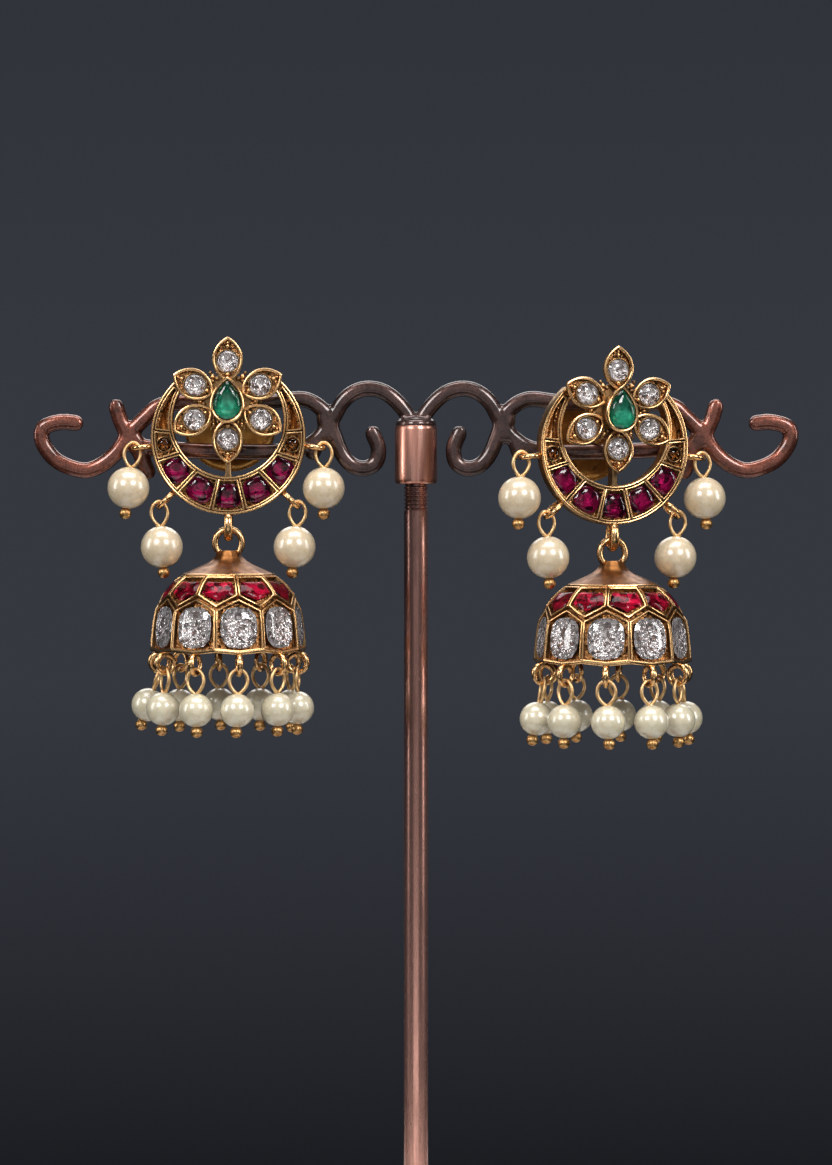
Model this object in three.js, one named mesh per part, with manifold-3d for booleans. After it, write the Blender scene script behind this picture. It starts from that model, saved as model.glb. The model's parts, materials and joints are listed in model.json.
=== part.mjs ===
// A pair of dome-shaped drop earrings hooked on a small scrolled display stand.
// Units are millimetres, +Z is up, the front faces -Y, and the origin is the centre of the base's underside.
import * as THREE from "three";
import { mergeVertices } from "three/addons/utils/BufferGeometryUtils.js";
import Module from "manifold-3d";

const wasm = await Module();
wasm.setup();

// Clearances
const fitGap = 0.3; // between a piece and the bore or plate next to it
const stoneGap = 0.1; // between a stone and the walls of its cell
const linkGap = 0.15; // between a hanging eye and the wire it hangs on
const swingGap = 0.4; // between the dome's ring and the bail below it
const solder = 0.2; // how far a soldered piece sinks into its neighbour

// Display stand
const baseRadius = 30;
const baseThick = 5;
const baseEdge = 1.2;
const collarRadius = 4;
const collarHeight = 2.5;
const poleRadius = 1.45;
const barHeight = 102.6; // middle line of the crossbar above the table
const barHalfSpan = 44.8; // centre of the stand to the outer turn of a hook
const barRise = 10; // height that the scroll tables below are shares of
const barWidth = 1.7;
const barThick = 1.8;
const socketWall = 0.8;
const socketHeight = 7;
const socketUp = 1.5; // top of the socket above the bar's middle line
const socketEdge = 0.5;

// Crescent of each earring
const crescentRadius = 9.2;
const crescentInner = 6.6;
const crescentBottom = 4.55; // width at its lowest point
const crescentThick = 1.9;
const armAngle = 140; // from the lowest point to the end of an arm, degrees
const rimWall = 0.42;
const cellWall = 0.35;
const cellDepth = 1;
const rubyRise = 0.2; // table of a ruby in front of the crescent
const rubyTall = 2.75;

// Flower
const flowerUp = 4.38; // flower's centre above the crescent's centre
const petalCount = 6;
const petalStart = 2.2;
const petalLength = 5.3;
const petalWidth = 3.7;
const petalThick = 1.5;
const petalBezel = 0.4;
const petalFloor = 0.55; // recess behind the petal's edge
const backPlateRadius = 3.1;
const backPlateThick = 0.7;
const strapWidth = 0.7;
const pearWidth = 4.4;
const pearHeight = 5.5;
const pearBezel = 0.5;
const pearThick = 2.3;
const pearFloor = 0.5;
const pearRise = 0.35;

// Post and its round back
const postRadius = 0.45;
const postUp = 1.5; // post above the crescent's centre
const postEnd = 2; // post beyond the hub
const backRadius = 5.5;
const backThick = 1;
const hubRadius = 2;
const hubLength = 3;

// Wire rings and pearls
const ringWire = 0.3;
const upperReach = 2.5; // upper side ring beyond the crescent's edge
const lowerReach = 2.8;
const upperAngle = 83.6; // from the crescent's lowest point, degrees
const lowerAngle = 45;
const eyeWire = 0.22;
const eyeSink = 0.5; // foot of an eye inside its pearl
const sideEyeWidth = 2.4;
const sideDrop = 4.75; // ring's wire to the pearl's centre
const sidePearl = 2.5;
const sideBall = 0.68;
const bailWire = 0.33;
const bailSide = 0.3; // between the dome's ring and the bail at each side

// Dome
const pivotDrop = 1.7; // swing axis below the crescent's edge
const domeRing = 1.6;
const domeRingWire = 0.375;
const domeSides = 10;
const domeTurn = 11; // faces of the dome turned from the plane of its ring, degrees
const domeRadius = 9.3;
const domeHeight = 12;
const domeWall = 0.8;
const neckSink = 0.5; // neck above the ring's lowest point
const rimRing = 1.12;
const rimRingWire = 0.28;
const rimRingIn = 1; // rim ring's centre inside the dome's corner radius
const rimEyeWidth = 2.6;
const rimDrop = 4.2;
const rimPearl = 2;
const rimBall = 0.66;

// Where each earring hangs: across is a share of the half span, up is in mm from the bar's middle line.
const earrings = [
  { side: "left", across: -0.498, up: 0, turn: 0 },
  { side: "right", across: 0.518, up: -1.2, turn: 17 },
];

// Slants of the side drops from upright, degrees towards +X. Left and right name the place on the crescent.
const sideLeans = {
  left: { upperLeft: -7, lowerLeft: 4, lowerRight: -5, upperRight: 0 },
  right: { upperLeft: -3, lowerLeft: 3, lowerRight: -4, upperRight: 4 },
};

// Slants of the rim drops, degrees: out from the dome's axis, and round it. A row for each face, from the front.
const rimLeans = {
  left: [
    { out: 2, round: -3 },
    { out: -3, round: 2 },
    { out: 0, round: -3 },
    { out: 2, round: 2 },
    { out: -2, round: 0 },
    { out: 2, round: -2 },
    { out: 0, round: 2 },
    { out: 20, round: 0 },
    { out: 3, round: -3 },
    { out: 3, round: 3 },
  ],
  right: [
    { out: 3, round: 2 },
    { out: 0, round: 3 },
    { out: 8, round: -2 },
    { out: 0, round: 2 },
    { out: 2, round: -2 },
    { out: -2, round: 2 },
    { out: 2, round: 0 },
    { out: 12, round: 2 },
    { out: 0, round: -2 },
    { out: -2, round: 3 },
  ],
};

// Centre lines of the crossbar's scrolls: out is a share of barHalfSpan, up is a share of barRise.
const scrolls = {
  outerHook: [
    { out: 0.909, up: 0.18 },
    { out: 0.947, up: 0.192 },
    { out: 0.996, up: 0.117 },
    { out: 1.0, up: 0.0 },
    { out: 0.985, up: -0.149 },
    { out: 0.954, up: -0.287 },
    { out: 0.887, up: -0.388 },
    { out: 0.852, up: -0.35 },
    { out: 0.816, up: -0.244 },
    { out: 0.79, up: -0.117 },
    { out: 0.77, up: 0.04 },
  ],
  raisedFinger: [
    { out: 0.77, up: 0.04 },
    { out: 0.788, up: 0.2 },
    { out: 0.8, up: 0.37 },
  ],
  loweredFinger: [
    { out: 0.79, up: -0.02 },
    { out: 0.742, up: -0.14 },
    { out: 0.716, up: -0.4 },
  ],
  upperBand: [
    { out: 0.764, up: 0.06 },
    { out: 0.722, up: 0.246 },
    { out: 0.682, up: 0.39 },
    { out: 0.5, up: 0.41 },
    { out: 0.38, up: 0.43 },
    { out: 0.296, up: 0.46 },
    { out: 0.25, up: 0.34 },
    { out: 0.225, up: 0.17 },
  ],
  lowerBand: [
    { out: 0.75, up: -0.1 },
    { out: 0.6, up: -0.15 },
    { out: 0.5, up: -0.16 },
    { out: 0.31, up: -0.13 },
    { out: 0.26, up: 0.0 },
    { out: 0.232, up: 0.14 },
  ],
  foot: [
    { out: 0.24, up: 0.1 },
    { out: 0.262, up: -0.02 },
    { out: 0.275, up: -0.17 },
  ],
  arch: [
    { out: 0.25, up: 0.17 },
    { out: 0.221, up: 0.224 },
    { out: 0.2, up: 0.41 },
    { out: 0.168, up: 0.54 },
    { out: 0.128, up: 0.592 },
    { out: 0.085, up: 0.55 },
    { out: 0.05, up: 0.43 },
    { out: 0.021, up: 0.265 },
    { out: 0.008, up: 0.15 },
  ],
  innerScroll: [
    { out: 0.232, up: 0.2 },
    { out: 0.22, up: 0.06 },
    { out: 0.196, up: -0.2 },
    { out: 0.169, up: -0.33 },
    { out: 0.135, up: -0.365 },
    { out: 0.107, up: -0.29 },
    { out: 0.1, up: -0.13 },
    { out: 0.115, up: 0.05 },
  ],
};

// Edges of the crescent's cells as shares of armAngle, from the lowest point up each arm.
const cellEdges = [0.096, 0.31, 0.515, 0.681, 0.957];
const rubyCells = 3;

// Outside of the dome from its neck to its rim: out is a share of domeRadius, down is a share of domeHeight.
// In domeRows the edge columns lie between the lower faces, and the face columns lie on their middles.
const capRows = [
  { out: 0.15, down: 0 },
  { out: 0.2, down: 0.06 },
  { out: 0.34, down: 0.13 },
  { out: 0.6, down: 0.225 },
];
const domeRows = [
  { edgeOut: 0.57, edgeDown: 0.22, faceOut: 0.57, faceDown: 0.22, upper: true },
  { edgeOut: 0.73, edgeDown: 0.31, faceOut: 0.73, faceDown: 0.31, upper: true },
  { edgeOut: 0.925, edgeDown: 0.545, faceOut: 0.86, faceDown: 0.437, upper: true, zigzag: true },
  { edgeOut: 0.965, edgeDown: 0.67, faceOut: 0.965, faceDown: 0.67, upper: false },
  { edgeOut: 0.99, edgeDown: 0.88, faceOut: 0.99, faceDown: 0.88, upper: false },
  { edgeOut: 1, edgeDown: 0.975, faceOut: 1, faceDown: 1, upper: false },
  { edgeOut: 0.8, edgeDown: 0.975, faceOut: 0.8, faceDown: 1, upper: false },
  { edgeOut: 0.6, edgeDown: 0.97, faceOut: 0.6, faceDown: 0.97, upper: false },
];
const hollowRows = [
  { out: 0.5, down: 0.31 },
  { out: 0.7, down: 0.43 },
  { out: 0.86, down: 0.64 },
  { out: 0.91, down: 1.02 },
];

// Colours
const goldColour = new THREE.MeshStandardMaterial({ color: 0xb8863f, roughness: 0.3, metalness: 1 });
const wireColour = new THREE.MeshStandardMaterial({ color: 0xd9b56a, roughness: 0.28, metalness: 1 });
const copperColour = new THREE.MeshStandardMaterial({ color: 0x7c4a3c, roughness: 0.4, metalness: 0.9 });
const pearlColour = new THREE.MeshStandardMaterial({ color: 0xe9dfc0, roughness: 0.25, metalness: 0 });
const rubyColour = new THREE.MeshStandardMaterial({ color: 0x8f1238, roughness: 0.1, metalness: 0 });
const emeraldColour = new THREE.MeshStandardMaterial({ color: 0x0f6b45, roughness: 0.1, metalness: 0 });

const rad = THREE.MathUtils.degToRad;

// A closed mesh as a solid for joining and cutting.
function toSolid(geometry) {
  const bare = geometry.clone();
  bare.deleteAttribute("normal");
  bare.deleteAttribute("uv");
  const merged = mergeVertices(bare, 1e-4);
  return new wasm.Manifold(
    new wasm.Mesh({
      numProp: 3,
      vertProperties: new Float32Array(merged.attributes.position.array),
      triVerts: new Uint32Array(merged.index.array),
    }),
  );
}

function fromSolid(solid) {
  const mesh = solid.getMesh();
  const geometry = new THREE.BufferGeometry();
  geometry.setAttribute("position", new THREE.BufferAttribute(new Float32Array(mesh.vertProperties), 3));
  geometry.setIndex(new THREE.BufferAttribute(new Uint32Array(mesh.triVerts), 1));
  geometry.computeVertexNormals();
  return geometry;
}

function join(geometries) {
  let solid = toSolid(geometries[0]);
  for (const geometry of geometries.slice(1)) solid = solid.add(toSolid(geometry));
  return solid;
}

// A closed solid through rings of points. Both ends are closed flat, or the last ring meets the first.
function loft(rings, around = false) {
  const count = rings[0].length;
  const positions = rings.flat().flatMap((p) => [p.x, p.y, p.z]);
  const index = [];
  const bands = around ? rings.length : rings.length - 1;
  for (let band = 0; band < bands; band += 1) {
    const lower = band * count;
    const upper = ((band + 1) % rings.length) * count;
    for (let i = 0; i < count; i += 1) {
      const next = (i + 1) % count;
      index.push(lower + i, lower + next, upper + next);
      index.push(lower + i, upper + next, upper + i);
    }
  }
  if (!around) {
    const top = (rings.length - 1) * count;
    for (let i = 1; i < count - 1; i += 1) {
      index.push(0, i + 1, i);
      index.push(top, top + i, top + i + 1);
    }
  }
  const geometry = new THREE.BufferGeometry();
  geometry.setAttribute("position", new THREE.BufferAttribute(new Float32Array(positions), 3));
  geometry.setIndex(volumeOf(positions, index) < 0 ? index.toReversed() : index);
  geometry.computeVertexNormals();
  return geometry;
}

function volumeOf(positions, index) {
  const corner = (i) => new THREE.Vector3().fromArray(positions, index[i] * 3);
  let volume = 0;
  for (let i = 0; i < index.length; i += 3) {
    volume += corner(i).dot(corner(i + 1).cross(corner(i + 2)));
  }
  return volume;
}

// A ring of round wire along a closed loop of points in one plane.
function wireLoop(points, normal, wire, sides = 5) {
  const count = points.length;
  const rings = points.map((point, i) => {
    const ahead = points[(i + 1) % count];
    const behind = points[(i + count - 1) % count];
    const outward = new THREE.Vector3().subVectors(ahead, behind).normalize().cross(normal).normalize();
    return Array.from({ length: sides }, (_, j) => {
      const angle = (2 * Math.PI * (j + 0.5)) / sides;
      return point
        .clone()
        .addScaledVector(outward, wire * Math.cos(angle))
        .addScaledVector(normal, wire * Math.sin(angle));
    });
  });
  return loft(rings, true);
}

// A soldered round ring through two directions.
function wireRing(centre, first, second, radius, wire, segments = 10, sides = 5) {
  const points = Array.from({ length: segments }, (_, i) => {
    const angle = (2 * Math.PI * (i + 0.5)) / segments;
    return centre
      .clone()
      .addScaledVector(first, radius * Math.cos(angle))
      .addScaledVector(second, radius * Math.sin(angle));
  });
  return wireLoop(points, first.clone().cross(second).normalize(), wire, sides);
}

// Outlines are lists of points on the front plane: u goes right, v goes up.
function cushion(width, height, cut = 0.55) {
  const u = width / 2;
  const v = height / 2;
  return [
    [u, -cut * v],
    [u, cut * v],
    [cut * u, v],
    [-cut * u, v],
    [-u, cut * v],
    [-u, -cut * v],
    [-cut * u, -v],
    [cut * u, -v],
  ];
}

// A leaf shape, pointed at both ends, along v.
function leaf(width, length, half = 5) {
  const points = [];
  for (let i = 0; i < 2 * half; i += 1) {
    const angle = (Math.PI * i) / half;
    const tall = (Math.cos(angle) * length) / 2;
    const wide = (Math.sign(Math.sin(angle)) * Math.abs(Math.sin(angle)) ** 1.25 * width) / 2;
    points.push([-(i % half === 0 ? 0 : wide), tall]);
  }
  return points;
}

// A pear shape with its point up.
function pear(width, height, inset = 0, count = 10) {
  const points = [];
  for (let i = 0; i < count; i += 1) {
    const angle = (2 * Math.PI * i) / count;
    const above = Math.max(Math.cos(angle), 0);
    const wide = Math.sin(angle) * (1 - 0.28 * above) * (width / 2 - inset);
    const tall = Math.cos(angle) * (height / 2 - inset * (1 + 0.5 * above));
    points.push([-wide, tall]);
  }
  return points;
}

function scaled(outline, share) {
  return outline.map(([u, v]) => [u * share, v * share]);
}

// A place on a surface: its origin, its direction to the right and up, and the way it faces.
function place(origin, right, up) {
  return { origin, right, up, out: right.clone().cross(up).normalize() };
}

const front = place(new THREE.Vector3(), new THREE.Vector3(1, 0, 0), new THREE.Vector3(0, 0, 1));

function ringAt(where, outline, out) {
  return outline.map(([u, v]) =>
    where.origin
      .clone()
      .addScaledVector(where.right, u)
      .addScaledVector(where.up, v)
      .addScaledVector(where.out, out),
  );
}

// A cut stone: a base, a girdle and a table, with a facet on each side between them.
function cutStone(where, outline, base, girdle, table, baseShare = 0.8, tableShare = 0.62) {
  return loft([
    ringAt(where, scaled(outline, baseShare), base),
    ringAt(where, outline, girdle),
    ringAt(where, scaled(outline, tableShare), table),
  ]);
}

// A bezel cup: a tapered wall round a sunk floor.
function bezelCup(where, outer, inner, back, edge, floor, backShare = 0.82) {
  return loft([
    ringAt(where, scaled(outer, backShare), back),
    ringAt(where, outer, edge),
    ringAt(where, inner, edge),
    ringAt(where, inner, edge - floor),
  ]);
}

function shifted(where, u, v, turn = 0) {
  const right = where.right.clone().applyAxisAngle(where.out, turn);
  const up = where.up.clone().applyAxisAngle(where.out, turn);
  const origin = where.origin.clone().addScaledVector(where.right, u).addScaledVector(where.up, v);
  return place(origin, right, up);
}

function rod(radius, from, to, sides = 10) {
  const rod = new THREE.CylinderGeometry(radius, radius, to - from, sides, 1);
  return rod.translate(0, (from + to) / 2, 0);
}

// Display stand

const boreRadius = poleRadius + fitGap;
const socketRadius = boreRadius + socketWall;
const socketTop = barHeight + socketUp;
const socketFoot = socketTop - socketHeight;
const boreTop = socketTop - socketWall;

function lathe(rows, segments) {
  return new THREE.LatheGeometry(rows.map(([r, z]) => new THREE.Vector2(r, z)), segments).rotateX(Math.PI / 2);
}

function standBase() {
  return lathe(
    [
      [0, 0],
      [baseRadius - baseEdge, 0],
      [baseRadius, baseEdge],
      [baseRadius, baseThick - baseEdge],
      [baseRadius - baseEdge, baseThick],
      [collarRadius, baseThick],
      [collarRadius, baseThick + collarHeight / 2],
      [poleRadius, baseThick + collarHeight],
      [poleRadius, boreTop - fitGap],
      [0, boreTop - fitGap],
    ],
    16,
  );
}

function socket() {
  return lathe(
    [
      [0, boreTop],
      [boreRadius, boreTop],
      [boreRadius, socketFoot],
      [socketRadius - socketEdge, socketFoot],
      [socketRadius, socketFoot + socketEdge],
      [socketRadius, socketTop - socketEdge],
      [socketRadius - socketEdge, socketTop],
      [0, socketTop],
    ],
    12,
  );
}

// One scroll of the flat bar: an outline at half the width on each side of its centre line, with round ends.
function scrollBar(rows, side) {
  const line = new THREE.CatmullRomCurve3(
    rows.map(({ out, up }) => new THREE.Vector3(side * out * barHalfSpan, barHeight + up * barRise, 0)),
    false,
    "centripetal",
  );
  const steps = rows.length - 1;
  const points = line.getSpacedPoints(steps);
  const half = barWidth / 2;
  const outline = [];
  const normalAt = (i) => {
    const tangent = line.getTangentAt(i / steps);
    return new THREE.Vector2(-tangent.y, tangent.x);
  };
  const add = (point, normal, share) => {
    outline.push(new THREE.Vector2(point.x + normal.x * half * share, point.y + normal.y * half * share));
  };
  const cap = (point, start, turn) => {
    for (const share of [0.3, 0.7]) {
      const normal = start.clone().rotateAround(new THREE.Vector2(), turn * share * Math.PI);
      add(point, normal, 1);
    }
  };
  for (let i = 0; i <= steps; i += 1) add(points[i], normalAt(i), 1);
  cap(points[steps], normalAt(steps), -1);
  for (let i = steps; i >= 0; i -= 1) add(points[i], normalAt(i), -1);
  cap(points[0], normalAt(0).negate(), -1);
  const shape = new THREE.Shape(outline);
  const bar = new THREE.ExtrudeGeometry(shape, { depth: barThick, bevelEnabled: false, steps: 1 });
  return bar.rotateX(Math.PI / 2).translate(0, barThick / 2, 0);
}

function crossbar() {
  const pieces = [socket()];
  for (const side of [-1, 1]) {
    for (const rows of Object.values(scrolls)) pieces.push(scrollBar(rows, side));
  }
  return fromSolid(join(pieces));
}

// Crescent

const innerOffset = crescentInner - (crescentRadius - crescentBottom);

function innerEdge(angle) {
  const across = innerOffset * Math.sin(angle);
  return Math.sqrt(crescentInner ** 2 - across ** 2) - innerOffset * Math.cos(angle);
}

// A point of the crescent's plane at an angle from its lowest point.
function polar(radius, angle) {
  return [radius * Math.sin(angle), -radius * Math.cos(angle)];
}

function arc(from, to, steps, radiusAt) {
  return Array.from({ length: steps + 1 }, (_, i) => {
    const angle = from + ((to - from) * i) / steps;
    return polar(radiusAt(angle), angle);
  });
}

function cellBounds() {
  const edges = cellEdges.map((share) => rad(armAngle) * share);
  const cells = [{ from: -edges[0], to: edges[0], ruby: true }];
  for (let i = 1; i < edges.length; i += 1) {
    for (const side of [-1, 1]) {
      const ends = [side * edges[i - 1], side * edges[i]].sort((a, b) => a - b);
      cells.push({ from: ends[0], to: ends[1], ruby: i < rubyCells });
    }
  }
  return cells;
}

function pocketOutline({ from, to }) {
  const outer = crescentRadius - rimWall;
  const innerWall = (angle) => innerEdge(angle) + rimWall;
  const middle = (outer + innerWall((from + to) / 2)) / 2;
  const inset = cellWall / 2 / middle;
  const steps = to - from > rad(30.8) ? 3 : 2;
  return [
    ...arc(from + inset, to - inset, steps, () => outer),
    ...arc(to - inset, from + inset, steps, innerWall),
  ];
}

function plate(outline, back, face) {
  const shape = new THREE.Shape(outline.map(([u, v]) => new THREE.Vector2(u, v)));
  const solid = new THREE.ExtrudeGeometry(shape, { depth: back - face, bevelEnabled: false, steps: 1 });
  return solid.rotateX(Math.PI / 2).translate(0, back, 0);
}

const crescentFace = -crescentThick / 2;
const cellFloor = crescentFace + cellDepth;

function crescentOutline() {
  const end = rad(armAngle);
  return [...arc(-end, end, 22, () => crescentRadius), ...arc(end, -end, 16, innerEdge)];
}

// Middle of a cell, with the size that its walls leave.
function cellPlace({ from, to }) {
  const angle = (from + to) / 2;
  const inner = innerEdge(angle) + rimWall;
  const outer = crescentRadius - rimWall;
  const radius = (inner + outer) / 2;
  const halfAngle = (to - from) / 2;
  const [u, v] = polar(radius, angle);
  return { where: shifted(front, u, v, angle), radius, halfAngle, tall: outer - inner };
}

function rubyOutline(cell) {
  const { radius, halfAngle, tall } = cellPlace(cell);
  const half = Math.min(rubyTall / 2, tall / 2 - stoneGap);
  const widthAt = (v) => (radius - v) * Math.tan(halfAngle) - cellWall / 2 - stoneGap;
  const outline = [];
  for (const [sideways, share] of [[1, -0.5], [1, 0.5], [0.55, 1], [-0.55, 1], [-1, 0.5], [-1, -0.5], [-0.55, -1], [0.55, -1]]) {
    const v = share * half;
    outline.push([sideways * Math.min(widthAt(v), half * 1.02), v]);
  }
  return outline;
}

// Flower

const flower = shifted(front, 0, flowerUp);
const petalBack = -crescentFace - solder;
const petalEdge = petalBack + petalThick;
const pearBack = petalBack + backPlateThick - solder;
const pearEdge = pearBack + pearThick;

function petal(turn) {
  const there = shifted(flower, 0, 0, turn);
  const where = shifted(there, 0, petalStart + petalLength / 2);
  return bezelCup(
    where,
    leaf(petalWidth, petalLength),
    leaf(petalWidth - 2 * petalBezel, petalLength - 3 * petalBezel),
    petalBack,
    petalEdge,
    petalFloor,
  );
}

// Mean radius of a soldered ring that reaches this far beyond the crescent's edge.
function ringMean(reach) {
  return (reach + solder) / 2 - ringWire;
}

function soldered(reach, angle) {
  const mean = ringMean(reach);
  const direction = new THREE.Vector3(Math.sin(rad(angle)), 0, -Math.cos(rad(angle)));
  const centre = direction.clone().multiplyScalar(crescentRadius + reach - ringWire - mean);
  return wireRing(centre, direction, new THREE.Vector3(0, 1, 0), mean, ringWire);
}

const pivotZ = -crescentRadius - pivotDrop;

function bail() {
  const bottom = pivotZ - domeRingWire - swingGap - bailWire;
  const top = -crescentRadius + solder;
  const half = domeRingWire + bailSide + bailWire;
  const points = Array.from({ length: 12 }, (_, i) => {
    const angle = (2 * Math.PI * (i + 0.5)) / 12;
    return new THREE.Vector3(0, half * Math.cos(angle), (top + bottom) / 2 + ((top - bottom) / 2) * Math.sin(angle));
  });
  return wireLoop(points, new THREE.Vector3(1, 0, 0), bailWire);
}

// The earring stands off the bar far enough for its crescent and its side rings to clear it when it is turned.
function standOff(turn) {
  const reach = (crescentRadius + upperReach) * Math.sin(Math.abs(turn));
  const half = Math.max(crescentThick / 2, ringMean(upperReach) + ringWire);
  return barThick / 2 + fitGap + reach + half * Math.cos(turn);
}

// Front of the round back along the post, clear of the bar behind it.
function backAt(turn) {
  const behind = barThick / 2 + fitGap + backRadius * Math.sin(Math.abs(turn));
  return (standOff(turn) + behind) / Math.cos(turn);
}

function setting(turn) {
  const cells = cellBounds();
  const pieces = [];
  const crescent = toSolid(plate(crescentOutline(), crescentThick / 2, crescentFace));
  const pockets = join(cells.map((cell) => plate(pocketOutline(cell), cellFloor, crescentFace - fitGap)));
  for (let i = 0; i < petalCount; i += 1) pieces.push(petal((2 * Math.PI * i) / petalCount));
  const outer = pear(pearWidth, pearHeight);
  const inner = pear(pearWidth, pearHeight, pearBezel);
  pieces.push(bezelCup(flower, outer, inner, pearBack, pearEdge, pearFloor + stoneGap));
  const plateOutline = cushion(2 * backPlateRadius, 2 * backPlateRadius, 0.414);
  pieces.push(
    loft([ringAt(flower, plateOutline, petalBack), ringAt(flower, plateOutline, petalBack + backPlateThick)]),
  );
  const strapTop = flowerUp - petalStart;
  const strapFoot = -innerEdge(0) - rimWall;
  const strapBack = crescentThick / 2;
  const strap = new THREE.BoxGeometry(strapWidth, petalBack + solder + strapBack, strapTop - strapFoot);
  strap.translate(0, (strapBack - petalBack - solder) / 2, (strapTop + strapFoot) / 2);
  pieces.push(strap);
  const postTip = backAt(turn) + backThick + hubLength + postEnd;
  pieces.push(rod(postRadius, -petalBack, postTip, 8).translate(0, 0, postUp));
  pieces.push(soldered(upperReach, upperAngle), soldered(upperReach, -upperAngle));
  pieces.push(soldered(lowerReach, lowerAngle), soldered(lowerReach, -lowerAngle));
  pieces.push(bail());
  return fromSolid(crescent.subtract(pockets).add(join(pieces)));
}

// Round back on the post, turned on the post's axis.
function earBack() {
  const bore = postRadius + fitGap;
  const rows = [
    [bore, 0],
    [backRadius, 0],
    [backRadius - backThick / 2, backThick],
    [hubRadius, backThick],
    [hubRadius, backThick + hubLength],
    [bore, backThick + hubLength],
    [bore, 0],
  ];
  return new THREE.LatheGeometry(rows.map(([r, y]) => new THREE.Vector2(r, y)), 12);
}

// A pearl on a pin whose eye hangs on a wire at the origin. The eye lies in the XZ plane.
function pearlDrop(drop, pearl, ball, eyeWidth, wire) {
  const half = eyeWidth / 2 - eyeWire;
  const top = wire + linkGap + eyeWire;
  const centre = top - half;
  const foot = pearl - drop - eyeSink;
  const points = [];
  for (const angle of [-30, 10, 50, 90, 130, 170, 210]) {
    points.push(new THREE.Vector3(half * Math.cos(rad(angle)), 0, centre + half * Math.sin(rad(angle))));
  }
  points.push(new THREE.Vector3(0, 0, foot));
  const rows = [0, 1, 2, 3, 4].map((i) => [pearl * Math.sin((i * Math.PI) / 5), pearl * Math.cos((i * Math.PI) / 5)]);
  const headTop = -pearl + solder / 2;
  rows.push([0.75 * ball, headTop], [ball, headTop - ball], [0, headTop - 1.9 * ball]);
  const bead = lathe(rows.reverse(), 10).translate(0, 0, -drop);
  return fromSolid(join([bead, wireLoop(points, new THREE.Vector3(0, 1, 0), eyeWire)]));
}

// Dome, with its origin on its swing axis

const neckZ = -2 * domeRing + neckSink;
const rimZ = neckZ - domeHeight;
const faceStep = (2 * Math.PI) / domeSides;

// Direction round the dome, from the front towards +X.
function around(angle) {
  return new THREE.Vector3(Math.sin(angle), -Math.cos(angle), 0);
}

function polygonRing(row, sides, turn) {
  return Array.from({ length: sides }, (_, i) => {
    const point = around(turn + (2 * Math.PI * (i + 0.5)) / sides).multiplyScalar(row.out * domeRadius);
    return point.setZ(neckZ - row.down * domeHeight);
  });
}

// Twice as many points as faces. The corners lie between the faces below the zigzag and on them above it.
function domeRingPoints(row, turn) {
  return Array.from({ length: 2 * domeSides }, (_, i) => {
    const onFace = i % 2 === 0;
    const corner = row.zigzag || onFace === row.upper;
    const out = (onFace ? row.faceOut : row.edgeOut) * (corner ? 1 : Math.cos(faceStep / 2));
    const point = around(turn + (i * faceStep) / 2).multiplyScalar(out * domeRadius);
    return point.setZ(neckZ - (onFace ? row.faceDown : row.edgeDown) * domeHeight);
  });
}

function dome() {
  const turn = rad(domeTurn);
  const cap = loft(capRows.map((row) => polygonRing(row, domeSides, turn + faceStep / 2)));
  const body = loft(domeRows.map((row) => domeRingPoints(row, turn)));
  const hollow = loft(
    hollowRows.map((row) => {
      const inside = { out: row.out - (domeWall - 0.8) / domeRadius, down: row.down + (domeWall - 0.8) / domeHeight };
      return polygonRing(inside, domeSides, turn);
    }),
  );
  const pieces = [toSolid(cap).add(toSolid(body)).subtract(toSolid(hollow))];
  for (let i = 0; i < domeSides; i += 1) {
    const out = around(turn + i * faceStep);
    const centre = out.clone().multiplyScalar(domeRadius - rimRingIn).setZ(rimZ - rimRing - rimRingWire + solder);
    pieces.push(toSolid(wireRing(centre, out, new THREE.Vector3(0, 0, 1), rimRing, rimRingWire)));
  }
  const topRing = new THREE.Vector3(0, 0, -domeRing);
  pieces.push(
    toSolid(wireRing(topRing, new THREE.Vector3(1, 0, 0), new THREE.Vector3(0, 0, 1), domeRing, domeRingWire, 12, 5)),
  );
  return fromSolid(pieces.reduce((whole, piece) => whole.add(piece)));
}

// Assembly

const model = new THREE.Group();

function named(group, name, geometry, material) {
  const mesh = new THREE.Mesh(geometry, material);
  mesh.name = name;
  group.add(mesh);
  return mesh;
}

named(model, "stand_base", standBase(), copperColour);
named(model, "stand_crossbar", crossbar(), copperColour);

const rubyGaps = cellBounds().filter((cell) => cell.ruby).sort((a, b) => a.from - b.from);
const sideHooks = [
  { place: "upperLeft", angle: -upperAngle, reach: upperReach },
  { place: "lowerLeft", angle: -lowerAngle, reach: lowerReach },
  { place: "lowerRight", angle: lowerAngle, reach: lowerReach },
  { place: "upperRight", angle: upperAngle, reach: upperReach },
];

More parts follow.
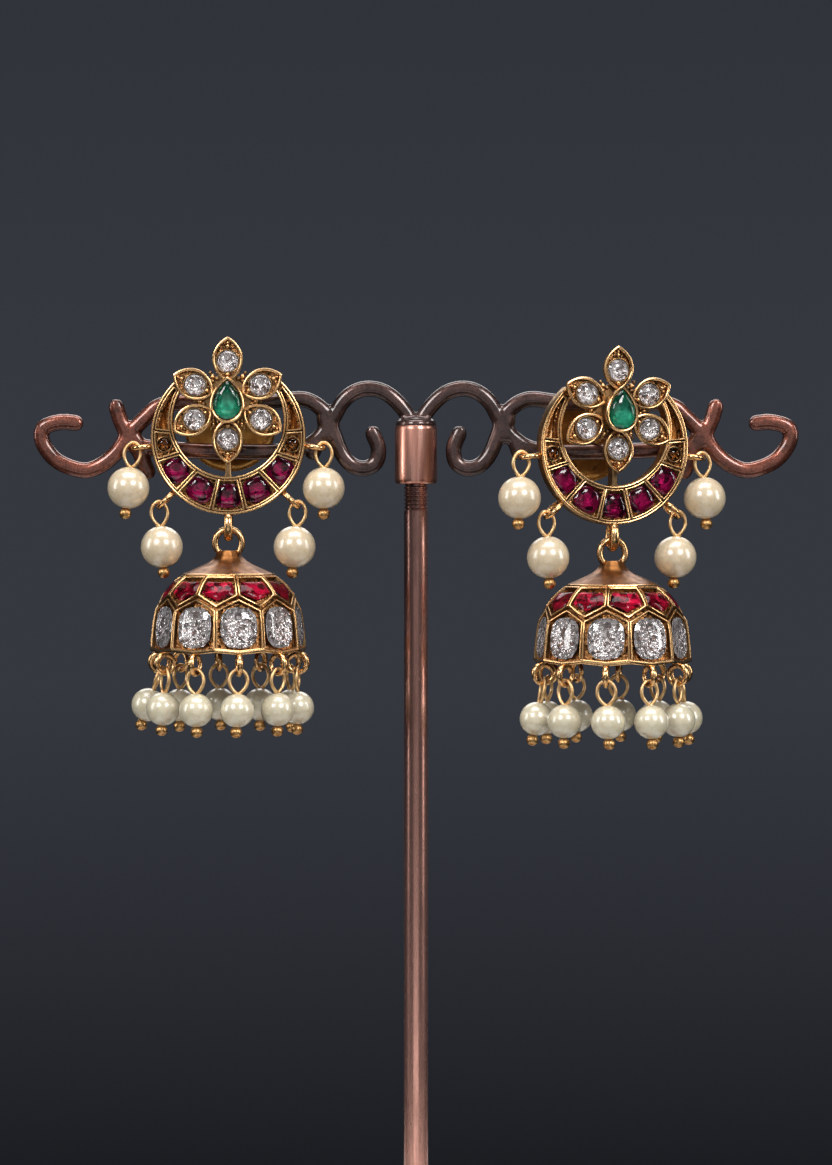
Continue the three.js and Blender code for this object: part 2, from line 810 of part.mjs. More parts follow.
for (const { side, across, up, turn } of earrings) {
  const yaw = rad(turn);
  const earring = new THREE.Group();
  earring.position.set(across * barHalfSpan, -standOff(yaw), barHeight + up);
  earring.rotation.z = yaw;
  model.add(earring);

  named(earring, `${side}_setting`, setting(yaw), goldColour);
  const pearOutline = pear(pearWidth, pearHeight, pearBezel + stoneGap);
  const pearFoot = pearEdge - pearFloor;
  const emerald = cutStone(flower, pearOutline, pearFoot, pearEdge, pearEdge + pearRise, 0.9);
  named(earring, `${side}_emerald`, emerald, emeraldColour);
  rubyGaps.forEach((cell, i) => {
    const where = cellPlace(cell).where;
    const face = -crescentFace;
    const stone = cutStone(where, rubyOutline(cell), -cellFloor + stoneGap, face - 0.3, face + rubyRise, 0.9);
    named(earring, `${side}_ruby_${i + 1}`, stone, rubyColour);
  });
  const back = named(earring, `${side}_ear_back`, earBack(), wireColour);
  back.position.set(0, backAt(yaw), postUp);

  sideHooks.forEach((hook, i) => {
    const geometry = pearlDrop(sideDrop, sidePearl, sideBall, sideEyeWidth, ringWire);
    const drop = named(earring, `${side}_side_pearl_${i + 1}`, geometry, pearlColour);
    const [x, z] = polar(crescentRadius + hook.reach - ringWire, rad(hook.angle));
    drop.position.set(x, 0, z);
    drop.rotation.y = -rad(sideLeans[side][hook.place]);
  });

  const swinging = new THREE.Group();
  swinging.position.set(0, 0, pivotZ);
  earring.add(swinging);
  named(swinging, `${side}_dome`, dome(), goldColour);
  for (let i = 0; i < domeSides; i += 1) {
    const angle = rad(domeTurn) + i * faceStep;
    const lean = rimLeans[side][i % rimLeans[side].length];
    const hanger = new THREE.Group();
    hanger.position.copy(around(angle).multiplyScalar(domeRadius - rimRingIn));
    hanger.position.z = rimZ - 2 * rimRing - rimRingWire + solder;
    hanger.rotation.z = angle;
    swinging.add(hanger);
    const geometry = pearlDrop(rimDrop, rimPearl, rimBall, rimEyeWidth, rimRingWire);
    const drop = named(hanger, `${side}_rim_pearl_${i + 1}`, geometry, pearlColour);
    drop.rotation.set(-rad(lean.out), -rad(lean.round), 0);
  }
}

export default model;
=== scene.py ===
"""Looks of a pair of jhumka earrings on their display stand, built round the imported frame.

Lengths are in millimetres until a piece is made, because the wires and stones are small.
"""

import json
import math
import random

import bmesh
import bpy
from mathutils import Matrix, Vector


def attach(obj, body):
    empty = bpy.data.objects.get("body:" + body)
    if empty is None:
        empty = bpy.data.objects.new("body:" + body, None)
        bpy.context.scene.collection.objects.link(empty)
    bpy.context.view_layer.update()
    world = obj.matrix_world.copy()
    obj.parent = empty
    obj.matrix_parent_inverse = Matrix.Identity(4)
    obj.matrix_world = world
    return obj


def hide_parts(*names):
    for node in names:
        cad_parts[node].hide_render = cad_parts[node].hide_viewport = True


bl_info = {
    "name": "Jhumka Earrings on a Stand",
    "version": (1, 0, 0),
    "blender": (4, 5, 0),
    "location": "3D View > Sidebar > Jhumka",
    "description": "Builds a pair of jhumka earrings and their stand round the packed frame",
    "category": "Add Mesh",
}

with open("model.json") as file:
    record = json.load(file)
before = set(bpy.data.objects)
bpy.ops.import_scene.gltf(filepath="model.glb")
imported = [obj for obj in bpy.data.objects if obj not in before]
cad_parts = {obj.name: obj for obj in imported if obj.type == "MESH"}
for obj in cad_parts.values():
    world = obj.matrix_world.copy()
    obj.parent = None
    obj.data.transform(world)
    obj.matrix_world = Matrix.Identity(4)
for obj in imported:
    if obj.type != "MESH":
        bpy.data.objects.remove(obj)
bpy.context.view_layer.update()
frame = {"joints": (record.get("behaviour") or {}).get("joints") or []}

MM = 0.001
SIDES = ("left", "right")

# Angles in degrees past which an edge looks sharp
SHARP_ANGLE = 32.0
BAR_SHARP = 50.0
DROP_SHARP = 60.0

# Least divisor at a sharp corner of an inset outline, so that it can't reach too far in
MITRE_LIMIT = 0.45
STONE_SIDES = 16

# Display stand
BASE_RADIUS = 30.0
BASE_THICK = 5.0
COLLAR_RADIUS = 4.0
POLE_RADIUS = 1.45
POLE_TOP = 103.0
THREAD_FOOT = 93.8
THREAD_END = 96.9
THREAD_PITCH = 0.46
THREAD_CREST = 1.44
THREAD_ROOT = 1.27
SOCKET_RADIUS = 2.55
SOCKET_FOOT = 97.1
SOCKET_TOP = 104.1
BAR_HEIGHT = 102.6
BAR_HALF_SPAN = 44.8
BAR_RISE = 10.0
BAR_EASE = 0.62
BAR_CORNER = 0.18
JOINT_WIDENING = 1.35
FINE_VOXEL = 0.15
MELT_ROUNDS = 12

# Crescent and flower of an earring; its origin is the crescent's centre, the front faces -Y
CRESCENT_RADIUS = 9.2
CRESCENT_INNER = 6.6
CRESCENT_STEPS = 96
INNER_OFFSET = 1.95
HALF_THICK = 0.95
ARM_ANGLE = 140.0
CELL_EDGES = (0.096, 0.31, 0.515, 0.681, 0.957)
CELL_GAP = 0.07
CELL_WALL = 0.385
CELL_ROOM = 0.42
RUBY_CELLS = 3
RUBY_WIDTH = 2.9
FLOWER_UP = 4.38
PETAL_WIDTH = 3.7
PETAL_LENGTH = 5.3
PETAL_BACK = 0.75
PETAL_EDGE = 2.25
PEAR_WIDTH = 4.4
PEAR_LENGTH = 5.5
PEAR_BACK = 1.25
PEAR_EDGE = 3.55
BAIL_WIRE = 0.33
POST_UP = 1.5
POST_RADIUS = 0.45

# Rings and pearls
RING_WIRE = 0.3
UPPER_REACH = 2.5
LOWER_REACH = 2.8
UPPER_ANGLE = 83.6
LOWER_ANGLE = 45.0
SOLDER = 0.2
LINK_GAP = 0.15
EYE_WIRE = 0.22
SIDE_EYE_WIDTH = 2.4
SIDE_DROP = 4.75
SIDE_PEARL = 2.5
SIDE_BALL = 0.68
RIM_EYE_WIDTH = 2.6
RIM_DROP = 4.2
RIM_PEARL = 2.0
RIM_BALL = 0.66

# Dome; its origin is its swing axis
PIVOT_DOWN = 10.9
DOME_SEEDS = {"left": 11, "right": 23}
DOME_RING = 1.6
DOME_RING_WIRE = 0.375
DOME_SIDES = 10
DOME_TURN = math.radians(11)
DOME_RADIUS = 9.3
DOME_HEIGHT = 12.0
NECK_Z = -2.7
RIM_Z = -14.7
RIM_RING = 1.12
RIM_RING_WIRE = 0.28
RIM_RING_OUT = 8.3
LOWER_STONE_DOWN = 8.82
UPPER_STONE_DOWN = 4.45
FACE_STEP = 2 * math.pi / DOME_SIDES

# Degrees from the crescent's lowest point, and reach, of its side rings from left to right
SIDE_HOOKS = (
    (-UPPER_ANGLE, UPPER_REACH),
    (-LOWER_ANGLE, LOWER_REACH),
    (LOWER_ANGLE, LOWER_REACH),
    (UPPER_ANGLE, UPPER_REACH),
)

# Degrees that each pearl leans: the side pearls sideways, the rim pearls outward and sideways
SIDE_LEANS = {"left": (-7, 4, -5, 0), "right": (-3, 3, -4, 4)}
RIM_LEANS = {
    "left": ((2, -3), (-3, 2), (0, -3), (2, 2), (-2, 0), (2, -2), (0, 2), (20, 0), (3, -3), (3, 3)),
    "right": ((3, 2), (0, 3), (8, -2), (0, 2), (2, -2), (-2, 2), (2, 0), (12, 2), (0, -2), (-2, 3)),
}


def turns(count, ahead=0.0):
    """Angles evenly round a circle, all moved ahead by a share of one step."""
    return [2 * math.pi * (i + ahead) / count for i in range(count)]


class Shape:
    """Points and faces of one piece, with a material number and a shading for each face."""

    def __init__(self):
        self.points = []
        self.faces = []
        self.slots = []
        self.smooth = []

    def add(self, points, faces, slot=0, smooth=True):
        start = len(self.points)
        self.points.extend(points)
        self.faces.extend(tuple(start + i for i in face) for face in faces)
        self.slots.extend([slot] * len(faces))
        self.smooth.extend([smooth] * len(faces))

    def loft(self, rings, slot=0, closed=False, smooth=True, slot_of=None):
        """Skin through rings of points; slot_of(band, side) may number each face's material."""
        count = len(rings[0])
        points = [p for ring in rings for p in ring]
        bands = len(rings) if closed else len(rings) - 1
        faces, slots = [], []
        for band in range(bands):
            low, high = band * count, (band + 1) % len(rings) * count
            for i in range(count):
                j = (i + 1) % count
                faces.append((low + i, low + j, high + j, high + i))
                slots.append(slot_of(band, i) if slot_of else slot)
        if not closed:
            for ring in (0, len(rings) - 1):
                faces.append(tuple(ring * count + i for i in range(count)))
                slots.append(slot)
        self.add(points, faces, slot, smooth)
        self.slots[-len(faces) :] = slots

    def stack(self, where, rows, slot=0, closed=False, slot_of=None):
        """Skin through outlines on a place; each row is an outline and its depth."""
        rings = [[where.at(u, v, depth) for u, v in outline] for outline, depth in rows]
        self.loft(rings, slot, closed, slot_of=slot_of)

    def wire(self, line, radius, sides, slot, normal, squash=1.0):
        """Closed round wire along points of a plane with this normal.

        The radius may be a list, and squash flattens the wire along the normal."""
        rings = []
        for i, point in enumerate(line):
            tangent = (line[(i + 1) % len(line)] - line[i - 1]).normalized()
            across = normal.cross(tangent).normalized()
            other = tangent.cross(across)
            size = radius[i] if isinstance(radius, list) else radius
            ring = []
            for angle in turns(sides, 0.5):
                flat = across * (size * math.cos(angle))
                ring.append(point + flat + other * (size * squash * math.sin(angle)))
            rings.append(ring)
        self.loft(rings, slot, closed=True)

    def ball(self, centre, radius, slot, sides, rows, tall=1.0):
        points = []
        for row in range(1, rows):
            angle = math.pi * row / rows
            flat, rise = radius * math.sin(angle), radius * tall * math.cos(angle)
            for turn in turns(sides):
                spot = Vector((flat * math.cos(turn), flat * math.sin(turn), rise))
                points.append(centre + spot)
        points += [centre + Vector((0, 0, radius * tall * s)) for s in (1, -1)]
        faces = []
        last = (rows - 2) * sides
        for low in range(0, last, sides):
            high = low + sides
            for j in range(sides):
                k = (j + 1) % sides
                faces.append((low + j, low + k, high + k, high + j))
        for j in range(sides):
            k = (j + 1) % sides
            faces.append((j, k, len(points) - 2))
            faces.append((last + j, last + k, len(points) - 1))
        self.add(points, faces, slot)

    def lathe(self, rows, sides, slot=0, at=lambda p: p, closed=False, slot_of=None):
        """Turned form round Z from rows of radius and height; a radius of zero closes an end."""
        rings = []
        for radius, height in rows:
            size = max(radius, 1e-3)
            spots = [(size * math.cos(t), size * math.sin(t), height) for t in turns(sides)]
            rings.append([at(Vector(spot)) for spot in spots])
        self.loft(rings, slot, closed, slot_of=slot_of)


def make_piece(name, shape, finishes, place=None, sharp=SHARP_ANGLE, scale=MM):
    """One mesh object from a shape in millimetres, with its faces turned outward."""
    mesh = bpy.data.meshes.new(name)
    mesh.from_pydata([p * scale for p in shape.points], [], shape.faces)
    mesh.polygons.foreach_set("material_index", shape.slots)
    for finish in finishes:
        mesh.materials.append(finish)
    work = bmesh.new()
    work.from_mesh(mesh)
    bmesh.ops.recalc_face_normals(work, faces=work.faces)
    work.to_mesh(mesh)
    work.free()
    mesh.polygons.foreach_set("use_smooth", shape.smooth)
    mesh.set_sharp_from_angle(angle=math.radians(sharp))
    mesh.update()
    return put(name, mesh, place)


def put(name, mesh, place=None):
    piece = bpy.data.objects.new(name, mesh)
    bpy.context.scene.collection.objects.link(piece)
    if place is not None:
        piece.matrix_world = place
    return piece


def fit(piece, body, slot, *nodes):
    """The piece takes the place of its frame nodes and moves with their body."""
    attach(piece, body)
    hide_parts(*nodes)


# Places on a surface


class Flat:
    """A flat place: u goes right, v goes up, and depth goes out towards the eye."""

    def __init__(self, origin, right, up):
        self.origin = origin
        self.right = right
        self.up = up
        self.out = right.cross(up).normalized()

    def at(self, u, v, depth=0.0):
        return self.origin + self.right * u + self.up * v + self.out * depth

    def moved(self, u, v, turn=0.0, depth=0.0):
        spin = Matrix.Rotation(turn, 3, self.out)
        return Flat(self.at(u, v, depth), spin @ self.right, spin @ self.up)


FRONT = Flat(Vector((0, 0, 0)), Vector((1, 0, 0)), Vector((0, 0, 1)))


def pairs(outline):
    """Each point of a closed outline with the next one."""
    return list(zip(outline, outline[1:] + outline[:1]))


def resampled(outline, count):
    """The same closed outline with evenly spaced points."""
    edges = pairs(outline)
    spans = [math.hypot(u2 - u, v2 - v) for (u, v), (u2, v2) in edges]
    whole = sum(spans)
    points, i, passed = [], 0, 0.0
    for k in range(count):
        goal = whole * k / count
        while passed + spans[i] < goal:
            passed += spans[i]
            i += 1
        share = (goal - passed) / spans[i]
        (u, v), (u2, v2) = edges[i]
        points.append((u + (u2 - u) * share, v + (v2 - v) * share))
    return points


def divided(outline, parts):
    """The same closed outline with each side in equal parts."""
    return [
        (u + (u2 - u) * k / parts, v + (v2 - v) * k / parts)
        for (u, v), (u2, v2) in pairs(outline)
        for k in range(parts)
    ]


def inset(outline, amount):
    """An outline moved inward by the same amount at each corner, for a wall of even width."""
    area = sum(a[0] * b[1] - b[0] * a[1] for a, b in pairs(outline))
    turn = 1 if area > 0 else -1
    count = len(outline)
    moved = []
    for i in range(count):
        (u0, v0), (u1, v1), (u2, v2) = outline[i - 1], outline[i], outline[(i + 1) % count]
        first = Vector((v0 - v1, u1 - u0)).normalized() * turn
        second = Vector((v1 - v2, u2 - u1)).normalized() * turn
        middle = first + second
        if middle.length < 1e-6:
            middle = first
        middle.normalize()
        reach = amount / max(middle.dot(first), MITRE_LIMIT)
        moved.append((u1 + middle.x * reach, v1 + middle.y * reach))
    return moved


def polar(radius, angle):
    """A place round the crescent's centre; the angle starts at its lowest point."""
    return radius * math.sin(angle), -radius * math.cos(angle)


def arc_points(from_angle, to_angle, radius_at):
    steps = 12
    angles = [from_angle + (to_angle - from_angle) * i / steps for i in range(steps + 1)]
    return [polar(radius_at(angle), angle) for angle in angles]


def circle(radius, count):
    return [(radius * math.cos(t), radius * math.sin(t)) for t in turns(count, 0.5)]


def cushion(width, height, power):
    """A square with soft corners, as cushion stones have."""
    points = []
    for angle in turns(STONE_SIDES, 0.5):
        c, s = math.cos(angle), math.sin(angle)
        size = (abs(c) ** power + abs(s) ** power) ** (-1 / power)
        points.append((width / 2 * c * size, height / 2 * s * size))
    return points


def leaf(width, length):
    """A leaf with a point at each end, along v."""
    points = []
    for angle in turns(36):
        sharp = 1.6 if math.cos(angle) > 0 else 1.4
        wide = math.copysign(abs(math.sin(angle)) ** sharp, math.sin(angle)) * width / 2
        points.append((-wide, math.cos(angle) * length / 2))
    return points


def pear(width, height):
    """A pear with its point up."""
    points = []
    for angle in turns(40):
        wide = 1.09 * math.sin(angle) * math.sin(angle / 2) ** 0.55 * (width / 2)
        points.append((-wide, math.cos(angle) * (height / 2)))
    return points


def shares(outline, share):
    return [(u * share, v * share) for u, v in outline]


def half_way(outline):
    """Points midway between the neighbours, so that facets alternate."""
    return [((u + u2) / 2, (v + v2) / 2) for (u, v), (u2, v2) in pairs(outline)]


def bezel(shape, where, outline, width, back, edge, slot, round_by):
    """A standing wall along a closed outline, with a rounded top and antique sides."""
    rows = [(outline, back), (outline, edge - round_by)]
    for share, fall in ((0.13, 0.35), (0.37, 0), (0.63, 0), (0.87, 0.35)):
        rows.append((inset(outline, width * share), edge - round_by * fall))
    inner = inset(outline, width)
    rows += [(inner, edge - round_by), (inner, back)]

    def slot_of(band, i):
        return ANTIQUE if band in (0, 6, 7) else slot

    shape.stack(where, rows, slot, closed=True, slot_of=slot_of)


def plate(shape, where, outline, back, edge, slot, round_by=0.05):
    """A flat plate with eased edges."""
    face = inset(outline, round_by)
    rows = ((face, back), (outline, back + round_by), (outline, edge - round_by), (face, edge))
    shape.stack(where, rows, slot)


def cut_stone(
    shape, where, outline, depths, slots, table_share, rings=3, base_share=None, chance=None
):
    """A faceted stone: a flat table, two rows of crown facets and a foiled pavilion of many.

    The depths are those of the girdle, the table and the culet. The pavilion ends in a point, or
    in a flat base if base_share is given; chance makes its facets a little uneven."""
    girdle, table, culet = depths
    crown_slot, foil_slot = slots
    start = len(shape.points)
    count = len(outline)
    sides = [(i, (i + 1) % count) for i in range(count)]
    turned = half_way(outline)
    crown = (
        (outline, girdle),
        (shares(turned, (1 + table_share) / 2 * 1.03), girdle + (table - girdle) * 0.62),
        (shares(half_way(turned), table_share), table),
    )
    for ring, depth in crown:
        shape.points.extend(where.at(u, v, depth) for u, v in ring)
    faces = []
    for low in (start, start + count):
        high = low + count
        for i, j in sides:
            faces += [(low + i, low + j, high + i), (low + j, high + j, high + i)]
    faces.append(tuple(start + 2 * count + i for i in range(count)))
    on_crown = len(faces)

    below, previous = outline, start
    fall = girdle - culet
    least = 1 / (1 + rings / 0.55) if base_share is None else base_share
    for ring in range(1, rings + 1):
        share = 1 - (1 - least) * ring / rings
        below = half_way(below)
        fresh = len(shape.points)
        sunk = (1 - share) / (1 - least) if base_share else (1 - share) ** 0.85
        depth = girdle - fall * sunk
        for u, v in below:
            uneven = chance.uniform(-0.16, 0.16) * fall if chance else 0.0
            shape.points.append(where.at(u * share, v * share, depth + uneven))
        for i, j in sides:
            faces.append((previous + i, fresh + i, previous + j))
            faces.append((previous + j, fresh + i, fresh + j))
        previous = fresh
    if base_share is None:
        tip = len(shape.points)
        shape.points.append(where.at(0, 0, culet))
        faces += [(previous + i, tip, previous + j) for i, j in sides]
    else:
        faces.append(tuple(previous + i for i in range(count)))
    shape.faces.extend(faces)
    shape.slots.extend([crown_slot] * on_crown + [foil_slot] * (len(faces) - on_crown))
    shape.smooth.extend([False] * len(faces))


# Finishes


def new_finish(name):
    finish = bpy.data.materials.new(name)
    finish.use_nodes = True
    tree = finish.node_tree
    tree.nodes.clear()
    out = tree.nodes.new("ShaderNodeOutputMaterial")
    shader = tree.nodes.new("ShaderNodeBsdfPrincipled")
    tree.links.new(shader.outputs["BSDF"], out.inputs["Surface"])
    return finish, tree, shader


def feed(tree, node, inputs):
    """Each named input takes a constant, or a link if it is given another node's output."""
    for name, given in inputs.items():
        if isinstance(given, bpy.types.NodeSocket):
            tree.links.new(given, node.inputs[name])
        else:
            node.inputs[name].default_value = given


def piece_place(tree):
    return tree.nodes.new("ShaderNodeTexCoord").outputs["Object"]


def speckle(tree, size_mm, detail, stretch=(1, 1, 1), rough=0.55):
    """Noise whose spots are about this many millimetres across."""
    mapping = tree.nodes.new("ShaderNodeMapping")
    feed(tree, mapping, {"Vector": piece_place(tree), "Scale": stretch})
    grain = tree.nodes.new("ShaderNodeTexNoise")
    scale = 1 / (size_mm * MM)
    spot = mapping.outputs["Vector"]
    feed(tree, grain, {"Vector": spot, "Scale": scale, "Detail": detail, "Roughness": rough})
    return grain.outputs["Fac"]


def along(tree, axis, low_mm, high_mm, mirrored=False):
    """A share from 0 to 1 between two places along an axis of the piece."""
    split = tree.nodes.new("ShaderNodeSeparateXYZ")
    feed(tree, split, {"Vector": piece_place(tree)})
    source = split.outputs[axis]
    if mirrored:
        plain = tree.nodes.new("ShaderNodeMath")
        plain.operation = "ABSOLUTE"
        tree.links.new(source, plain.inputs[0])
        source = plain.outputs[0]
    return spread(tree, source, low_mm * MM, high_mm * MM, 0, 1)


def spread(tree, source, low, high, to_low, to_high):
    node = tree.nodes.new("ShaderNodeMapRange")
    ends = {"From Min": low, "From Max": high, "To Min": to_low, "To Max": to_high}
    feed(tree, node, {"Value": source, **ends})
    return node.outputs["Result"]


def tinted(tree, source, stops):
    node = tree.nodes.new("ShaderNodeValToRGB")
    ramp = node.color_ramp
    while len(ramp.elements) < len(stops):
        ramp.elements.new(0.5)
    for element, (place, colour) in zip(ramp.elements, stops):
        element.position = place
        element.color = (*colour, 1)
    feed(tree, node, {"Fac": source})
    return node.outputs["Color"]


def blended(tree, share, first, second, kind="MIX"):
    node = tree.nodes.new("ShaderNodeMix")
    node.data_type = "RGBA"
    node.blend_type = kind
    feed(tree, node, {"Factor": share, "A": first, "B": second})
    return node.outputs["Result"]


def worn_edges(tree):
    """A share that is 0 in the hollows and 1 on the edges of a form."""
    form = tree.nodes.new("ShaderNodeNewGeometry")
    return spread(tree, form.outputs["Pointiness"], 0.46, 0.56, 0, 1)


def relief(tree, shader, source, strength, depth_mm):
    node = tree.nodes.new("ShaderNodeBump")
    feed(tree, node, {"Strength": strength, "Distance": depth_mm * MM, "Height": source})
    feed(tree, shader, {"Normal": node.outputs["Normal"]})


def scaled_colour(colour, share):
    return tuple(share * c for c in colour)


def toned(colour, *rows):
    """Ramp stops with shares of one colour."""
    return [(stop, scaled_colour(colour, share)) for stop, share in rows]


def metal(
    name, dark, light, rough, spots, bump, bump_mm=0.02, grain_mm=0.12, stretch=(1, 1, 1), worn=None
):
    """Cast or drawn metal with cloudy colour, uneven gloss and a fine skin.

    The clouds are spots millimetres across, and worn gives the hollows another colour."""
    finish, tree, shader = new_finish(name)
    cloud = speckle(tree, spots, 4, stretch)
    colour = tinted(tree, cloud, ((0.3, dark), (0.7, light)))
    if worn is not None:
        hollow = tinted(tree, cloud, ((0.3, worn), (0.75, dark)))
        colour = blended(tree, worn_edges(tree), hollow, colour)
    gloss = spread(tree, cloud, 0.3, 0.7, rough[1], rough[0])
    feed(tree, shader, {"Base Color": colour, "Roughness": gloss, "Metallic": 1.0})
    relief(tree, shader, speckle(tree, grain_mm, 2, stretch), bump, bump_mm)
    return finish


def foil(name, dark, light, rough, size_mm, shine, crease_mm):
    """Crumpled bright foil behind a stone: each small crease has its own tilt, and its own tone as
    painted glint and painted shade for the light it catches.
    """
    finish, tree, shader = new_finish(name)
    creases_and_painted_glints = tree.nodes.new("ShaderNodeTexVoronoi")
    feed(tree, creases_and_painted_glints, {"Vector": piece_place(tree), "Scale": 1 / (size_mm * MM)})
    chance = creases_and_painted_glints.outputs["Color"]
    # Painted glints and painted shade: each crease gets a tone between dark and bright, standing in
    # for how much light it catches.
    colour = tinted(tree, chance, ((0.22, dark), (0.5, light)))
    gloss = spread(tree, chance, 0.2, 0.8, rough[0], rough[1])
    feed(tree, shader, {"Base Color": colour, "Roughness": gloss, "Metallic": shine})
    relief(tree, shader, creases_and_painted_glints.outputs["Distance"], 0.8, crease_mm)
    return finish


def stone_glass(name, colour, ior, rough, clear=1.0, gloss=0.5):
    finish, tree, shader = new_finish(name)
    feed(tree, shader, {
        "Base Color": tinted(tree, speckle(tree, 0.8, 2), toned(colour, (0.35, 0.86), (0.65, 1))),
        "Transmission Weight": clear,
        "Roughness": rough,
        "IOR": ior,
        "Specular IOR Level": gloss,
    })
    return finish


def pearl_skin(name, body):
    """Nacre under a clear coat, with paler and darker clouds and a tone of each pearl's own."""
    finish, tree, shader = new_finish(name)
    cloud = speckle(tree, 1.6, 3)
    chance = tree.nodes.new("ShaderNodeObjectInfo").outputs["Random"]
    own = tinted(tree, chance, toned(body, (0.0, 1), (1.0, 0.93)))
    spots = tinted(tree, cloud, toned(body, (0.3, 0.86), (0.65, 1)))
    feed(tree, shader, {
        "Base Color": blended(tree, spread(tree, cloud, 0.2, 0.8, 0.55, 0.8), spots, own),
        "Roughness": spread(tree, speckle(tree, 0.5, 2), 0.3, 0.7, 0.24, 0.34),
        "Specular IOR Level": 0.9,
        "Subsurface Weight": 0.25,
        "Subsurface Radius": (0.9, 0.7, 0.45),
        "Subsurface Scale": 0.6 * MM,
        "Coat Weight": 1.0,
        "Coat Roughness": 0.26,
        "Coat IOR": 1.8,
    })
    relief(tree, shader, speckle(tree, 0.35, 2), 0.03, 0.01)
    return finish


def bronze_bar(name, outer, inner):
    """Plated crossbar: coppery at its two ends, and darker towards the socket."""
    finish, tree, shader = new_finish(name)
    cloud = speckle(tree, 2.6, 6, rough=0.72)
    fine = speckle(tree, 0.3, 3)
    ends = tinted(tree, cloud, toned(outer, (0.36, 0.3), (0.5, 0.75), (0.66, 1.25)))
    middle = tinted(tree, cloud, toned(inner, (0.36, 0.5), (0.7, 2.2)))
    colour = blended(tree, along(tree, "X", 17, 31, mirrored=True), middle, ends)
    grey = tinted(tree, fine, ((0.35, (0.55, 0.55, 0.55)), (0.6, (1, 1, 1))))
    feed(tree, shader, {
        "Base Color": blended(tree, 1.0, colour, grey, "MULTIPLY"),
        "Roughness": spread(tree, cloud, 0.3, 0.7, 0.5, 0.3),
        "Metallic": 0.9,
        "Coat Weight": 0.7,
        "Coat Roughness": 0.12,
        "Coat IOR": 1.6,
    })
    relief(tree, shader, fine, 0.15, 0.02)
    return finish


def bronze_pole(name, dark, rosy):
    """Drawn pole: rosy at its foot, and towards the top dark on its left side and rosy on its
    right, which is partly patina and partly painted light on the right and painted shade on the
    left.
    """
    finish, tree, shader = new_finish(name)
    cloud = speckle(tree, 1.0, 4, stretch=(1, 1, 0.12), rough=0.6)
    low = tinted(tree, cloud, toned(rosy, (0.3, 0.6), (0.7, 1)))
    high = tinted(tree, cloud, toned(dark, (0.3, 0.9), (0.7, 5.4)))
    # Painted light and shade, partly patina: the right side is painted rosy as if lit, the left
    # side dark as if shaded.
    worn = blended(tree, along(tree, "X", 0.1, 1.1), high, low)
    feed(tree, shader, {
        "Base Color": blended(tree, along(tree, "Z", 30, 90), low, worn),
        "Roughness": spread(tree, cloud, 0.3, 0.7, 0.32, 0.2),
        "Metallic": 0.95,
    })
    relief(tree, shader, speckle(tree, 0.2, 2, (1, 1, 0.05)), 0.12, 0.02)
    return finish


def matt_floor(name, colour):
    finish, tree, shader = new_finish(name)
    tone = tinted(tree, speckle(tree, 14, 3), toned(colour, (0.3, 0.97), (0.7, 1)))
    feed(tree, shader, {"Base Color": tone, "Roughness": 0.7})
    relief(tree, shader, speckle(tree, 0.6, 3), 0.05, 0.05)
    return finish


# The numbers of the soldered gold's finishes in a shape
GOLD, ANTIQUE, RECESS, CLEAR, SILVER_FOIL, RUBY, RUBY_FOIL, WARM, SMOKY = range(9)


def gold_finishes(sizes):
    """The finishes of the soldered gold, in the order of their numbers."""
    bright = tuple(sizes.gold_colour)
    brown = tuple(sizes.recess_colour)
    dull, deep = scaled_colour(bright, 0.55), scaled_colour(bright, 0.16)
    worn = scaled_colour(brown, 0.6)
    low, high = scaled_colour(brown, 0.25), scaled_colour(brown, 2.6)
    ruby = tuple(sizes.ruby_colour)
    return [
        metal("polished_gold", scaled_colour(bright, 0.65), bright, (0.2, 0.3), 0.5, 0.06),
        metal("antique_gold", deep, dull, (0.24, 0.45), 0.7, 0.4, 0.03, worn=worn),
        foil("gold_recess", low, high, (0.24, 0.42), 0.26, 1.0, 0.1),
        stone_glass("clear_stone", (1.0, 0.96, 0.95), 1.6, 0.02, 0.94),
        foil("silver_foil", (0.15, 0.08, 0.055), (1.0, 0.97, 0.97), (0.09, 0.24), 0.38, 0.77, 0.12),
        stone_glass("ruby_stone", ruby, 1.3, 0.15, gloss=0.22),
        foil("ruby_foil", (0.14, 0.03, 0.04), (0.68, 0.24, 0.3), (0.25, 0.42), 0.9, 0.8, 0.05),
        metal(
            "warm_gold", (0.16, 0.06, 0.02), (0.5, 0.22, 0.07), (0.28, 0.44), 1.1, 0.25,
            worn=(0.1, 0.035, 0.01),
        ),
        stone_glass("smoky_stone", (0.5, 0.34, 0.17), 1.4, 0.06),
    ]


